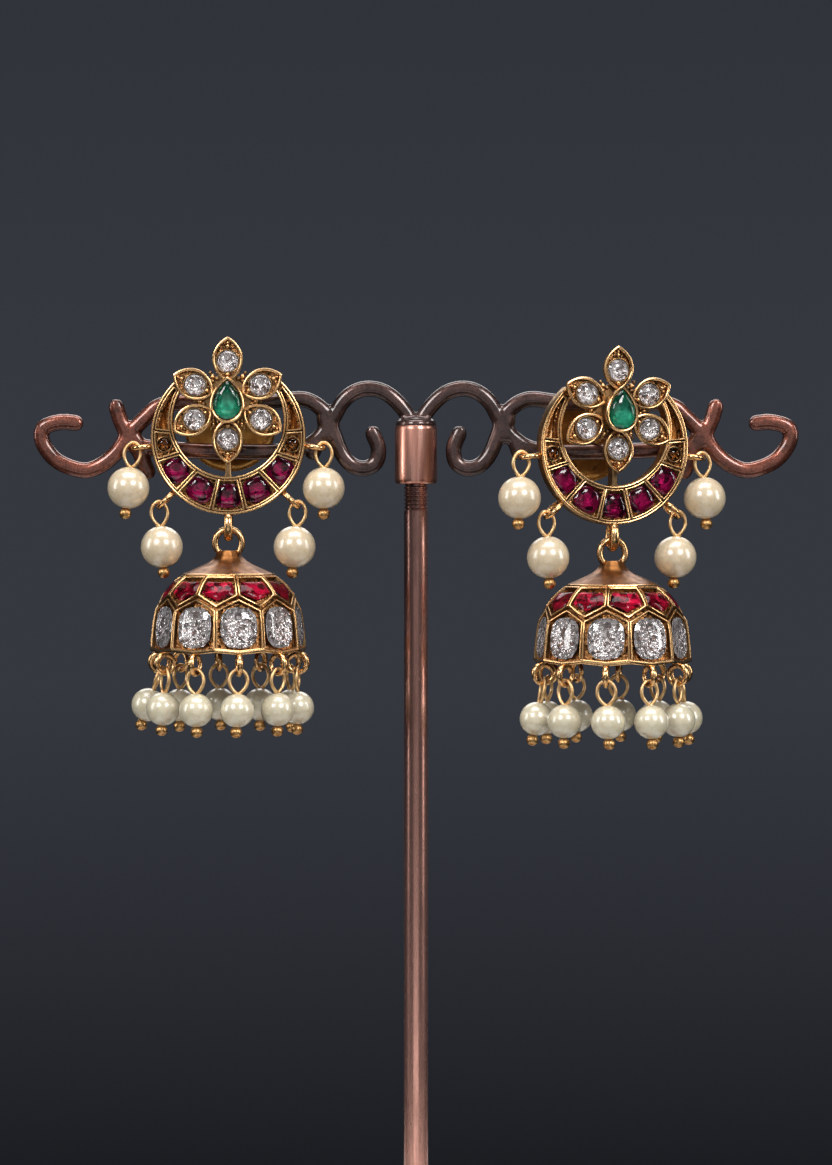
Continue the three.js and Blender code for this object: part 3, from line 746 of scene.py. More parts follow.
def finishes_of(sizes, made={}):
    """Each finish is made once and shared by the pieces that have it."""
    if made:
        return made
    warm = tuple(sizes.pearl_colour)
    cool = (warm[0] * 0.97, warm[1] * 1.07, warm[2] * 1.14)
    ruby = sizes.ruby_colour
    deep_ruby = (ruby[0], ruby[1], 1.8 * ruby[2])
    made["gold"] = gold_finishes(sizes)
    made["wire"] = metal(
        "wire_gold", (0.76, 0.44, 0.17), (1.0, 0.72, 0.4), (0.36, 0.46), 0.5, 0.03
    )
    made["head"] = metal(
        "pin_head_gold", (0.42, 0.21, 0.07), (0.78, 0.46, 0.19), (0.3, 0.44), 0.6, 0.05
    )
    made["back"] = metal(
        "ear_back_gold", (0.55, 0.24, 0.05), (0.88, 0.5, 0.16), (0.22, 0.4), 1.2, 0.25,
        worn=(0.3, 0.12, 0.03),
    )
    made["side_pearl"] = pearl_skin("warm_pearl", warm)
    made["rim_pearl"] = pearl_skin("pale_pearl", cool)
    made["emerald"] = [
        stone_glass("emerald_stone", tuple(sizes.emerald_colour), 1.57, 0.08),
        metal("emerald_foil", (0.2, 0.48, 0.38), (0.46, 0.82, 0.68), (0.35, 0.5), 0.8, 0.1),
    ]
    made["deep_ruby"] = [
        stone_glass("deep_ruby_stone", deep_ruby, 1.52, 0.1),
        foil("deep_ruby_foil", (0.1, 0.03, 0.05), (0.55, 0.22, 0.36), (0.3, 0.5), 0.8, 0.7, 0.03),
    ]
    return made


# Display stand

SCROLLS = {
    "outerHook": (
        (0.909, 0.18), (0.947, 0.192), (0.996, 0.117), (1.0, 0.0), (0.985, -0.149), (0.954, -0.287),
        (0.887, -0.388), (0.852, -0.35), (0.816, -0.244), (0.79, -0.117), (0.77, 0.04),
    ),
    "raisedFinger": ((0.77, 0.04), (0.788, 0.2), (0.8, 0.37)),
    "loweredFinger": ((0.768, 0.03), (0.742, -0.14), (0.716, -0.4)),
    "upperBand": (
        (0.764, 0.06), (0.722, 0.246), (0.682, 0.39), (0.5, 0.41), (0.38, 0.43), (0.296, 0.46),
        (0.25, 0.34), (0.225, 0.17),
    ),
    "lowerBand": (
        (0.75, -0.1), (0.6, -0.15), (0.5, -0.16), (0.31, -0.13), (0.26, 0.0), (0.232, 0.14),
    ),
    "outerJoint": ((0.768, 0.05), (0.76, -0.01), (0.75, -0.06)),
    "innerJoint": ((0.238, 0.22), (0.232, 0.14), (0.237, 0.06)),
    "foot": ((0.236, 0.12), (0.262, -0.02), (0.275, -0.17)),
    "arch": (
        (0.236, 0.18), (0.221, 0.24), (0.2, 0.41), (0.168, 0.54), (0.128, 0.592), (0.085, 0.55),
        (0.05, 0.43), (0.021, 0.265), (0.008, 0.15),
    ),
    "innerScroll": (
        (0.232, 0.2), (0.22, 0.06), (0.196, -0.2), (0.169, -0.33), (0.135, -0.365), (0.107, -0.29),
        (0.1, -0.13), (0.115, 0.05),
    ),
}


def smooth_line(points, step):
    """A centripetal curve through points, sampled about every step."""
    ends = [points[0] * 2 - points[1]] + list(points) + [points[-1] * 2 - points[-2]]
    line = []
    for a, b, c, d in zip(ends, ends[1:], ends[2:], ends[3:]):
        t1 = math.sqrt((b - a).length)
        t2 = t1 + math.sqrt((c - b).length)
        t3 = t2 + math.sqrt((d - c).length)
        count = max(2, round((c - b).length / step))
        for k in range(count):
            t = t1 + (t2 - t1) * k / count
            ab = a * ((t1 - t) / t1) + b * (t / t1)
            bc = b * ((t2 - t) / (t2 - t1)) + c * ((t - t1) / (t2 - t1))
            cd = c * ((t3 - t) / (t3 - t2)) + d * ((t - t2) / (t3 - t2))
            abc = ab * ((t2 - t) / t2) + bc * (t / t2)
            bcd = bc * ((t3 - t) / (t3 - t1)) + cd * ((t - t1) / (t3 - t1))
            line.append(abc * ((t2 - t) / (t2 - t1)) + bcd * ((t - t1) / (t2 - t1)))
    line.append(points[-1].copy())
    return line


# The rings of a scroll's round nose: how far each stands out and how wide it is, both as shares
# of half the scroll's width
NOSE = [(0.98, 0.2), (0.87, 0.5), (0.5, 0.87)]


def cast_scroll(shape, rows, side, width, thick):
    """One flat scroll with eased edges and a round nose at each end."""
    span = side * BAR_HALF_SPAN
    points = [Vector((out * span, 0, BAR_HEIGHT + up * BAR_RISE)) for out, up in rows]
    line = smooth_line(points, 0.5)
    half, deep = width / 2, thick / 2
    corner = [
        (half, deep - BAR_EASE), (half - BAR_CORNER, deep - BAR_CORNER), (half - BAR_EASE, deep)
    ]
    top = corner + [(-u, v) for u, v in reversed(corner)]
    section = top + [(-u, -v) for u, v in top]
    rings = []
    last = len(line) - 1
    for i, point in enumerate(line):
        tangent = (line[min(i + 1, last)] - line[max(i - 1, 0)]).normalized()
        across = Vector((-tangent.z, 0, tangent.x))
        noses = [(0.0, 1.0)]
        if i == 0:
            noses = [(-reach, size) for reach, size in NOSE] + noses
        elif i == last:
            noses += reversed(NOSE)
        for reach, size in noses:
            centre = point + tangent * reach * half
            thin = 0.85 + 0.15 * size
            rings.append([
                centre + across * (u * size) + Vector((0, v * thin, 0)) for u, v in section
            ])
    shape.loft(rings)


def melted(shape, voxel, rounds):
    """The shape as one cast skin, in which overlapping bodies run together with soft joints."""
    mesh = bpy.data.meshes.new("cast")
    mesh.from_pydata(shape.points, [], shape.faces)
    work = bmesh.new()
    work.from_mesh(mesh)
    bmesh.ops.recalc_face_normals(work, faces=work.faces)
    work.to_mesh(mesh)
    work.free()
    body = put("cast", mesh)
    remesh = body.modifiers.new("skin", "REMESH")
    remesh.mode = "VOXEL"
    remesh.voxel_size = voxel
    soften = body.modifiers.new("soften", "SMOOTH")
    soften.factor = 0.5
    soften.iterations = rounds
    view = bpy.context.evaluated_depsgraph_get()
    cast = bpy.data.meshes.new_from_object(body.evaluated_get(view))
    points = [v.co.copy() for v in cast.vertices]
    faces = [tuple(p.vertices) for p in cast.polygons]
    bpy.data.objects.remove(body)
    bpy.data.meshes.remove(mesh)
    bpy.data.meshes.remove(cast)
    return points, faces


def build_crossbar(sizes):
    cast = Shape()
    for side in (-1, 1):
        for name, rows in SCROLLS.items():
            width = sizes.bar_width / MM * (JOINT_WIDENING if name.endswith("Joint") else 1)
            cast_scroll(cast, rows, side, width, sizes.bar_thick / MM)
    saddle = (
        (0, 103.6), (2.3, 103.6), (2.48, 104.1), (2.4, 104.6), (1.9, 104.95), (0.8, 105.05),
        (0, 105.1),
    )
    cast.lathe(saddle, 32)
    voxel = FINE_VOXEL
    shape = Shape()
    shape.add(*melted(cast, voxel, MELT_ROUNDS))
    socket = (
        (0, 103.3), (1.75, 103.3), (1.75, SOCKET_FOOT + 0.1), (1.85, SOCKET_FOOT),
        (2.2, SOCKET_FOOT), (2.42, SOCKET_FOOT + 0.12), (2.53, SOCKET_FOOT + 0.35),
        (SOCKET_RADIUS, SOCKET_FOOT + 0.6), (SOCKET_RADIUS, SOCKET_TOP - 0.5),
        (2.52, SOCKET_TOP - 0.2), (2.4, SOCKET_TOP), (0, SOCKET_TOP),
    )
    shape.lathe(socket, 64, 1)
    finishes = [
        bronze_bar("bar_bronze", tuple(sizes.copper_colour), tuple(sizes.dark_colour)),
        metal(
            "socket_copper", (0.44, 0.17, 0.12), (0.98, 0.54, 0.43), (0.24, 0.36), 0.5, 0.4,
            bump_mm=0.03, grain_mm=0.25, stretch=(1, 1, 0.06),
        ),
    ]
    piece = make_piece("scrolled_crossbar", shape, finishes, sharp=BAR_SHARP)
    fit(piece, "stand", "copper", "stand_crossbar")


def build_base(sizes):
    shape = Shape()
    rows = [
        (0, 0.4), (26, 0.4), (26.4, 0), (28.6, 0), (29.5, 0.35), (BASE_RADIUS, 1.2),
        (BASE_RADIUS, 3.7), (29.75, 4.4), (29.2, 4.85), (28.4, BASE_THICK), (24, BASE_THICK),
        (23.6, 4.85), (23.2, BASE_THICK), (12, BASE_THICK), (5.2, BASE_THICK), (4.6, 5.06),
        (4.1, 5.3), (COLLAR_RADIUS, 5.9), (3.75, 6.5), (3.2, 6.85), (2.5, 7.02), (1.9, 7.15),
        (1.58, 7.35), (POLE_RADIUS, 7.5),
    ]
    on_base = len(rows) - 2
    rows += [(POLE_RADIUS, z) for z in (20, 40, 60, 80, 93.6)]
    z = THREAD_FOOT
    while z < THREAD_END:
        rows += [(THREAD_CREST, z), (THREAD_CREST, z + 0.16)]
        rows += [(THREAD_ROOT, z + 0.26), (THREAD_ROOT, z + 0.36)]
        z += THREAD_PITCH
    rows += [(THREAD_CREST, 97.3), (THREAD_CREST, POLE_TOP - 0.2), (1.3, POLE_TOP), (0, POLE_TOP)]
    shape.lathe(rows, 96, slot_of=lambda band, i: 0 if band <= on_base else 1)
    shape.slots[-1] = 1
    finishes = [
        metal(
            "base_bronze", (0.12, 0.065, 0.05), (0.36, 0.2, 0.16), (0.26, 0.42), 3.0, 0.15,
            bump_mm=0.03, grain_mm=0.3,
        ),
        bronze_pole("pole_bronze", tuple(sizes.dark_colour), (1.0, 0.52, 0.42)),
    ]
    piece = make_piece("round_base_and_pole", shape, finishes)
    fit(piece, "stand", "copper", "stand_base")


# Earring places


def earring_place(side):
    """The crescent's centre and turn, from the axis that the dome swings on."""
    joint = next(j for j in frame["joints"] if j["name"] == f"{side}_dome_swing")
    yaw = math.atan2(joint["axis"][1], joint["axis"][0])
    centre = Vector(joint["pos_m"]) + Vector((0, 0, PIVOT_DOWN * MM))
    return Matrix.Translation(centre) @ Matrix.Rotation(yaw, 4, "Z"), yaw


def inner_edge(angle):
    across = INNER_OFFSET * math.sin(angle)
    return math.sqrt(CRESCENT_INNER**2 - across**2) - INNER_OFFSET * math.cos(angle)


def cell_bounds():
    edges = [math.radians(ARM_ANGLE) * share for share in CELL_EDGES]
    cells = [(-edges[0], edges[0], "ruby")]
    for i in range(1, len(edges)):
        kind = "ruby" if i < RUBY_CELLS else "clear" if i == RUBY_CELLS else "gold"
        cells.append((edges[i - 1], edges[i], kind))
        cells.append((-edges[i], -edges[i - 1], kind))
    return cells


def cell_place(low, high):
    """A cell's middle, its distance from the crescent's centre, and its depth from edge to edge."""
    angle = (low + high) / 2
    inner = inner_edge(angle) + CELL_ROOM
    outer = CRESCENT_RADIUS - CELL_ROOM
    radius = (inner + outer) / 2
    u, v = polar(radius, angle)
    return FRONT.moved(u, v, angle), radius, outer - inner


def stand_off(yaw):
    """How far the front of the round back and the post's tip are behind the crescent's middle."""
    lean = math.sin(abs(yaw))
    off = 1.2 + (CRESCENT_RADIUS + UPPER_REACH) * lean + 1.35 * math.cos(yaw)
    back = (off + 1.2 + 5.5 * lean) / math.cos(yaw)
    return back, back + 6.0


# Setting


def crescent_sweep(shape, section, slot_of):
    """Skin along the crescent from a section of edge, distance past that edge, and depth."""
    end = math.radians(ARM_ANGLE)
    rings = []
    for i in range(CRESCENT_STEPS + 1):
        angle = -end + 2 * end * i / CRESCENT_STEPS
        inner = inner_edge(angle)
        ring = []
        for edge, reach, depth in section:
            radius = (CRESCENT_RADIUS if edge == "out" else inner) + reach
            ring.append(FRONT.at(*polar(radius, angle), depth))
        rings.append(ring)
    shape.loft(rings, ANTIQUE, slot_of=slot_of)


def crescent(shape):
    body = (
        ("out", -0.05, -0.85), ("out", -0.05, 0.0), ("in", 0.05, 0.0), ("in", 0.05, -0.85),
        ("in", 0.15, -HALF_THICK), ("out", -0.15, -HALF_THICK),
    )
    crescent_sweep(shape, body, lambda band, i: RECESS if i == 1 else ANTIQUE)
    rim = (
        (0.1, -HALF_THICK), (0.0, -0.82), (0.0, 0.84), (0.05, 0.92), (0.12, HALF_THICK),
        (0.22, HALF_THICK), (0.3, 0.91), (0.34, 0.8), (0.34, -0.1),
    )
    for edge, sign in (("out", -1), ("in", 1)):
        section = [(edge, sign * reach, depth) for reach, depth in rim]
        crescent_sweep(shape, section, lambda band, i: ANTIQUE if i in (0, 1, 7, 8) else GOLD)


def cell_outline(low, high):
    outer = CRESCENT_RADIUS - CELL_WALL
    radius = (outer + inner_edge((low + high) / 2) + CELL_WALL) / 2
    gap = CELL_GAP / radius
    points = arc_points(low + gap, high - gap, lambda a: outer)
    points += arc_points(high - gap, low + gap, lambda a: inner_edge(a) + CELL_WALL)
    return points


def ruby_outline(low, high):
    _, radius, tall = cell_place(low, high)
    half = min(RUBY_WIDTH / 2, tall / 2 - 0.06)
    slope = math.tan((high - low) / 2)
    points = []
    for u, v in cushion(2, 2, 4.6):
        wide = min((radius - v * half) * slope - 0.24, half * 1.04)
        points.append((u * wide, v * half))
    return points


def round_stone(shape, where, radius, depths, crown=CLEAR, foil=SILVER_FOIL):
    """A small round stone in its own thin bezel."""
    girdle, _, culet = depths
    rim = circle(radius + 0.16, 32)
    back, edge = culet - 0.05, girdle + 0.04
    bezel(shape, where, rim, width=0.13, back=back, edge=edge, slot=ANTIQUE, round_by=0.04)
    stone = circle(radius, STONE_SIDES)
    cut_stone(shape, where, stone, depths, (crown, foil), table_share=0.55)


def crescent_cells(shape):
    for low, high, kind in cell_bounds():
        outline = cell_outline(low, high)
        bezel(shape, FRONT, outline, width=0.2, back=-0.06, edge=0.9, slot=GOLD, round_by=0.06)
        where, radius, tall = cell_place(low, high)
        if kind == "ruby":
            for u, v in ((-1, 1), (1, 1), (1, -1), (-1, -1)):
                wide = (radius - v * 1.2) * math.tan((high - low) / 2) - CELL_ROOM
                shape.ball(where.at(u * wide, v * tall * 0.42, 0.35), 0.2, ANTIQUE, 8, 6)
        elif kind == "clear":
            round_stone(shape, where, 0.8, (0.45, 0.72, 0.12), SMOKY, RECESS)
            for u, v in ((-0.72, 0.95), (0.72, 0.95), (-0.72, -1.0), (0.72, -1.0)):
                shape.ball(where.at(u * tall * 0.42, v, 0.25), 0.22, GOLD, 10, 7)
        else:
            ridge(shape, low, high)


def ridge(shape, low, high):
    """The tapered gold ridge in the uppermost cell of each arm."""
    start, end = (low, high) if low > 0 else (high, low)
    rings = []
    for i in range(17):
        share = i / 16
        angle = start + (end - start) * (0.06 + 0.86 * share)
        low_r, high_r = inner_edge(angle) + 0.62, CRESCENT_RADIUS - 0.62
        middle = (low_r + high_r) / 2
        half = max(0.08, (high_r - low_r) / 2 * (0.62 - 0.35 * share))
        top = 0.62 - 0.3 * share
        ring = [
            (middle - half, -0.02), (middle - half, top * 0.45), (middle, top),
            (middle + half, top * 0.45), (middle + half, -0.02),
        ]
        rings.append([FRONT.at(*polar(r, angle), depth) for r, depth in ring])
    shape.loft(rings, GOLD, smooth=False)


def cup(shape, where, outline, foot, rim, slot_of):
    """A cup with a rolled rim. Its foot's rows are shares of the outline, and its rim's rows are
    insets, each with a depth; the inner face is the last of them."""
    rows = [(shares(outline, share), depth) for share, depth in foot]
    rows += [(inset(outline, amount), depth) for amount, depth in rim]
    shape.stack(where, rows, ANTIQUE, slot_of=slot_of)
    shape.slots[-1] = RECESS


# Degrees from the upright petal, and the petal's middle from the flower's; the upper side petals
# droop a little
PETALS = ((0, 4.85), (65, 4.5), (120, 4.8), (180, 4.85), (240, 4.8), (295, 4.5))
PETAL_FOOT = ((0.8, PETAL_BACK), (0.86, PETAL_BACK + 0.15), (0.97, 1.9))
PETAL_RIM = (
    (0, 2.1), (0.05, PETAL_EDGE - 0.03), (0.14, PETAL_EDGE), (0.24, PETAL_EDGE),
    (0.32, PETAL_EDGE - 0.05), (0.37, 2.1), (0.4, 1.66),
)
PEAR_FOOT = ((0.84, PEAR_BACK), (0.95, 2.2), (0.985, 3.1))
PEAR_RIM = (
    (0, 3.36), (0.04, 3.48), (0.13, PEAR_EDGE), (0.25, PEAR_EDGE), (0.35, 3.49), (0.4, 3.36),
    (0.41, 2.95),
)


def petal(shape, turn, reach):
    where = FRONT.moved(0, FLOWER_UP).moved(0, 0, turn).moved(0, reach)

    def slot_of(band, i):
        return ANTIQUE if band < 3 else RECESS if band == 8 else GOLD

    cup(shape, where, leaf(PETAL_WIDTH, PETAL_LENGTH), PETAL_FOOT, PETAL_RIM, slot_of)
    seat = where.moved(0, -0.25, turn * 0.37)
    round_stone(shape, seat, 1.28, (2.0, 2.38, 1.7))
    for v, size in ((1.52, 0.25), (1.95, 0.17), (-1.78, 0.25)):
        shape.ball(where.at(0, v, 2.0), size, GOLD, 12, 8)
    for u in (-0.42, 0.42):
        for v in (1.4, -1.72):
            shape.ball(where.at(u, v, 1.86), 0.15, ANTIQUE, 8, 6)


def flower(shape):
    middle = FRONT.moved(0, FLOWER_UP)
    grains = ((0, 3.3, 0.33), (-0.3, 2.85, 0.28), (0.3, 2.85, 0.28), (0, 3.85, 0.22))
    for (turn, reach), (following, _) in zip(PETALS, PETALS[1:] + ((360, 0),)):
        petal(shape, math.radians(turn), reach)
        gap = middle.moved(0, 0, math.radians((turn + following) / 2))
        for u, v, size in grains:
            shape.ball(gap.at(u, v, 1.62), size, GOLD if size > 0.3 else ANTIQUE, 12, 8)
    plate(shape, middle, circle(3.1, 40), PETAL_BACK, 1.45, ANTIQUE, round_by=0.12)
    outline = pear(PEAR_WIDTH, PEAR_LENGTH)
    cup(shape, middle, outline, PEAR_FOOT, PEAR_RIM, lambda band, i: ANTIQUE if band < 2 else GOLD)
    strap = [
        (-0.3, 2.1), (0.3, 2.1), (0.3, -4.2), (0.46, -4.9), (0.5, -5.05), (-0.5, -5.05),
        (-0.46, -4.9), (-0.3, -4.2),
    ]
    plate(shape, FRONT, strap, -0.9, 0.92, ANTIQUE, round_by=0.1)
    plate(shape, FRONT.moved(0, 0, 0, 0.5), shares(circle(1, 20), 0.42), -0.2, 0.5, GOLD)


def ring_loop(shape, centre, first, second, radius, wire, count=36, sides=12, swell=0.0):
    """A soldered ring; swell thickens its wire on the first direction's side."""
    line, sizes = [], []
    for angle in turns(count):
        away = first * (radius * math.cos(angle))
        line.append(centre + away + second * (radius * math.sin(angle)))
        sizes.append(wire * (1 + swell * max(0, math.cos(angle - 0.5)) ** 2))
    shape.wire(line, sizes, sides, GOLD, first.cross(second).normalized())


def side_rings_and_bail(shape):
    for degrees, reach in SIDE_HOOKS:
        mean = (reach + SOLDER) / 2 - RING_WIRE
        u, v = polar(1, math.radians(degrees))
        out = Vector((u, 0, v))
        centre = out * (CRESCENT_RADIUS + reach - RING_WIRE - mean)
        ring_loop(shape, centre, out, Vector((0, 1, 0)), mean, RING_WIRE)
        shape.ball(out * (CRESCENT_RADIUS + 0.02), 0.42, ANTIQUE, 14, 9)
    bottom = -PIVOT_DOWN - DOME_RING_WIRE - 0.4 - BAIL_WIRE
    top = 0.2 - CRESCENT_RADIUS
    line = []
    for angle in turns(40):
        height = (top + bottom) / 2 + (top - bottom) / 2 * math.sin(angle)
        line.append(Vector((0, 1.005 * math.cos(angle), height)))
    shape.wire(line, BAIL_WIRE, sides=14, slot=GOLD, normal=Vector((1, 0, 0)), squash=1.5)
    shape.ball(Vector((0, 0, -CRESCENT_RADIUS)), 0.5, ANTIQUE, 14, 9)


def build_setting(side, sizes):
    place, yaw = earring_place(side)
    shape = Shape()
    crescent(shape)
    crescent_cells(shape)
    flower(shape)
    side_rings_and_bail(shape)
    _, tip = stand_off(yaw)
    post = (
        (0, -0.8), (POST_RADIUS + 0.35, -0.8), (POST_RADIUS + 0.3, -0.6), (POST_RADIUS, -0.3),
        (POST_RADIUS, tip - 0.25), (0.3, tip - 0.05), (0, tip),
    )
    shape.lathe(post, 24, WARM, lambda p: Vector((p.x, p.z, p.y + POST_UP)))
    gold = finishes_of(sizes)["gold"]
    piece = make_piece(f"{side}_flower_and_crescent", shape, gold, place)
    fit(piece, "stand", "gold", f"{side}_setting")


def build_stones(side, sizes):
    place, _ = earring_place(side)
    made = finishes_of(sizes)
    shape = Shape()
    outline = resampled(inset(pear(PEAR_WIDTH, PEAR_LENGTH), 0.43), 18)
    seat = FRONT.moved(0, FLOWER_UP)
    depths = (3.46, 3.86, 3.06)
    cut_stone(shape, seat, outline, depths, (0, 1), table_share=0.72, rings=2, base_share=0.5)
    piece = make_piece(f"{side}_emerald_pear", shape, made["emerald"], place)
    fit(piece, "stand", "emerald", f"{side}_emerald")
    rubies = sorted(cell for cell in cell_bounds() if cell[2] == "ruby")
    for i, (low, high, _) in enumerate(rubies):
        where, _, _ = cell_place(low, high)
        shape = Shape()
        outline = ruby_outline(low, high)
        depths = (0.68, 0.98, 0.14)
        cut_stone(shape, where, outline, depths, (0, 1), table_share=0.68, rings=2, base_share=0.55)
        piece = make_piece(f"{side}_crescent_ruby_{i + 1}", shape, made["deep_ruby"], place)
        fit(piece, "stand", "ruby", f"{side}_ruby_{i + 1}")


def build_ear_back(side, sizes):
    place, yaw = earring_place(side)
    back, _ = stand_off(yaw)
    rows = (
        (0.75, 0.0), (1.6, 0.0), (1.9, 0.12), (4.6, 0.12), (4.9, 0.0), (5.3, 0.0), (5.48, 0.1),
        (5.5, 0.25), (5.3, 0.6), (5.02, 0.92), (4.85, 1.0), (2.5, 1.0), (2.15, 1.1), (2.0, 1.35),
        (2.0, 1.9), (1.88, 2.0), (1.88, 2.15), (2.0, 2.25), (2.0, 3.6), (1.9, 3.88), (1.7, 4.0),
        (0.75, 4.0),
    )
    shape = Shape()
    shape.lathe(rows, 48, at=lambda p: Vector((p.x, back + p.z, POST_UP + p.y)), closed=True)
    piece = make_piece(f"{side}_round_back", shape, [finishes_of(sizes)["back"]], place)
    fit(piece, "stand", "wire", f"{side}_ear_back")


# Pearls


def pearl_drop_mesh(name, sizes, eye_width, wire, finishes):
    """A pearl on a pin: an eye that narrows to the pearl, and a round head below it.

    The sizes are the pearl's distance from the ring, and the radii of the pearl and the head."""
    drop, pearl, ball = sizes
    shape = Shape()
    half = eye_width / 2 - EYE_WIRE
    top = wire + LINK_GAP + EYE_WIRE
    crown = pearl - drop
    line = []
    for i in range(37):
        angle = math.radians(-76 + 332 * i / 36)
        low = max(0, -math.sin(angle))
        across = half * math.cos(angle) * (1 - 0.34 * low**1.6)
        side = math.copysign(0.12 * low**3, math.cos(angle))
        height = (top + crown) / 2 + (top - crown) / 2 * math.sin(angle)
        line.append(Vector((across, side, height)))
    line.append(Vector((0, 0, crown - 0.45)))
    shape.wire(line, EYE_WIRE, sides=10, slot=1, normal=Vector((0, 1, 0)))
    rings = []
    rows = 26
    for row in range(rows + 1):
        angle = math.pi * row / rows
        dent = 0.05 * math.exp(-((angle / 0.14) ** 2))
        size = max(pearl * math.sin(angle), 0.004)
        height = (pearl - dent) * math.cos(angle) - drop
        rings.append([Vector((size * math.cos(t), size * math.sin(t), height)) for t in turns(44)])
    shape.loft(rings, 0)
    head = 1.08 * ball
    below = Vector((0, 0, -0.02 - drop - pearl - 1.86 * ball + head))
    shape.ball(below, head, slot=2, sides=28, rows=18, tall=0.96)
    piece = make_piece(name, shape, finishes, sharp=DROP_SHARP)
    mesh = piece.data
    bpy.data.objects.remove(piece)
    return mesh


def build_side_pearls(sizes):
    made = finishes_of(sizes)
    finishes = [made["side_pearl"], made["wire"], made["head"]]
    drop = (SIDE_DROP, SIDE_PEARL, SIDE_BALL)
    mesh = pearl_drop_mesh("side_pearl_drop", drop, SIDE_EYE_WIDTH, RING_WIRE, finishes)
    for side in SIDES:
        place, _ = earring_place(side)
        for i, (degrees, reach) in enumerate(SIDE_HOOKS):
            u, v = polar(CRESCENT_RADIUS + reach - RING_WIRE, math.radians(degrees))
            lean = Matrix.Rotation(-math.radians(SIDE_LEANS[side][i]), 4, "Y")
            spot = place @ Matrix.Translation(Vector((u, 0, v)) * MM) @ lean
            piece = put(f"{side}_side_pearl_drop_{i + 1}", mesh, spot)
            fit(piece, "stand", "pearl", f"{side}_side_pearl_{i + 1}")


def build_rim_pearls(sizes):
    made = finishes_of(sizes)
    finishes = [made["rim_pearl"], made["wire"], made["head"]]
    drop = (RIM_DROP, RIM_PEARL, RIM_BALL)
    mesh = pearl_drop_mesh("rim_pearl_drop", drop, RIM_EYE_WIDTH, RIM_RING_WIRE, finishes)
    height = RIM_Z - 2 * RIM_RING - RIM_RING_WIRE + SOLDER
    for side in SIDES:
        place, _ = earring_place(side)
        pivot = place @ Matrix.Translation((0, 0, -PIVOT_DOWN * MM))
        for i in range(DOME_SIDES):
            angle = DOME_TURN + i * FACE_STEP
            out, about = RIM_LEANS[side][i]
            hook = Vector((math.sin(angle) * RIM_RING_OUT, -math.cos(angle) * RIM_RING_OUT, height))
            spot = (
                pivot
                @ Matrix.Translation(hook * MM)
                @ Matrix.Rotation(angle, 4, "Z")
                @ Matrix.Rotation(-math.radians(out), 4, "X")
                @ Matrix.Rotation(-math.radians(about), 4, "Y")
            )
            piece = put(f"{side}_rim_pearl_drop_{i + 1}", mesh, spot)
            fit(piece, f"{side}_drop", "pearl", f"{side}_rim_pearl_{i + 1}")


# Dome


def around(angle):
    return Vector((math.sin(angle), -math.cos(angle), 0))


def looked_up(table, down):
    """The radius at a fall, between the rows of a table."""
    for (d0, r0), (d1, r1) in zip(table, table[1:]):
        if down <= d1 or d1 == table[-1][0]:
            return r0 + (r1 - r0) * (down - d0) / (d1 - d0)


# Falls from the neck as shares of the dome's height, each with the distance of a side's middle
# from the axis; in the last table it is the corners' share of the dome's radius
LOWER_PROFILE = (
    (0.4, 7.82), (0.437, 7.98), (0.545, 8.22), (0.67, 8.52), (0.78, 8.67), (0.88, 8.77), (1.0, 8.86)
)
UPPER_PROFILE = (
    (0.2, 4.75), (0.22, 5.05), (0.265, 5.78), (0.31, 6.44), (0.37, 7.08), (0.437, 7.66),
    (0.49, 8.08), (0.56, 8.62),
)
CORNER_PROFILE = (
    (0.22, 0.57), (0.31, 0.73), (0.437, 0.86), (0.545, 0.925), (0.67, 0.965), (0.88, 0.99),
    (1.0, 1.0),
)


def half_chord(down):
    return looked_up(CORNER_PROFILE, down) * DOME_RADIUS * math.sin(FACE_STEP / 2)


class Facet:
    """A side of the dome: u goes round it, v is minus the fall from the neck, depth goes out."""

    def __init__(self, angle, profile):
        self.out = around(angle)
        self.right = Vector((math.cos(angle), math.sin(angle), 0))
        self.profile = profile

    def spot(self, v):
        reach = looked_up(self.profile, -v / DOME_HEIGHT)
        return self.out * reach + Vector((0, 0, NECK_Z + v))

    def facing(self, v):
        up = (self.spot(v + 0.3) - self.spot(v - 0.3)).normalized()
        return self.right.cross(up).normalized(), up

    def at(self, u, v, depth=0.0):
        out, _ = self.facing(v)
        return self.spot(v) + self.right * u + out * depth

    def flat(self, v):
        _, up = self.facing(v)
        return Flat(self.spot(v), self.right, up)


def cell_rows(rows, gap):
    """An outline from rows of side and fall, a little inside the sides of a facet."""
    return [(side * (half_chord(down) - gap), -down * DOME_HEIGHT) for side, down in rows]


def lower_cell():
    """Outline of a lower cell, a house with its roof up."""
    right = [(1, 0.8), (1, 0.67), (1, 0.566)]
    left = [(-1, down) for _, down in reversed(right)]
    foot = [(-1, 0.955), (0, 0.978), (1, 0.955)]
    return cell_rows(foot + right + [(0, 0.456)] + left, 0.045)


def upper_cell():
    """Outline of an upper cell, a house with its roof down."""
    right = [(1, 0.236), (1, 0.31), (1, 0.424)]
    left = [(-1, 0.424), (-1, 0.31)]
    return cell_rows([(-1, 0.236)] + right + [(0, 0.533)] + left, 0.06)


def dome_ring(row, shrink=0.0):
    """A ring of the dome's corners and sides by turns.

    The row has the corners' share of the radius and of the height, the same of the sides' middles,
    whether the corners belong to the upper cells, and whether all points are corners."""
    edge_out, edge_down, face_out, face_down, upper, zigzag = row
    ring = []
    for i in range(2 * DOME_SIDES):
        on_face = i % 2 == 0
        corner = zigzag or on_face == upper
        share = face_out if on_face else edge_out
        out = share * DOME_RADIUS * (1 if corner else math.cos(FACE_STEP / 2))
        down = face_down if on_face else edge_down
        flat = around(DOME_TURN + i * FACE_STEP / 2) * (out - shrink)
        ring.append(flat + Vector((0, 0, NECK_Z - down * DOME_HEIGHT)))
    return ring


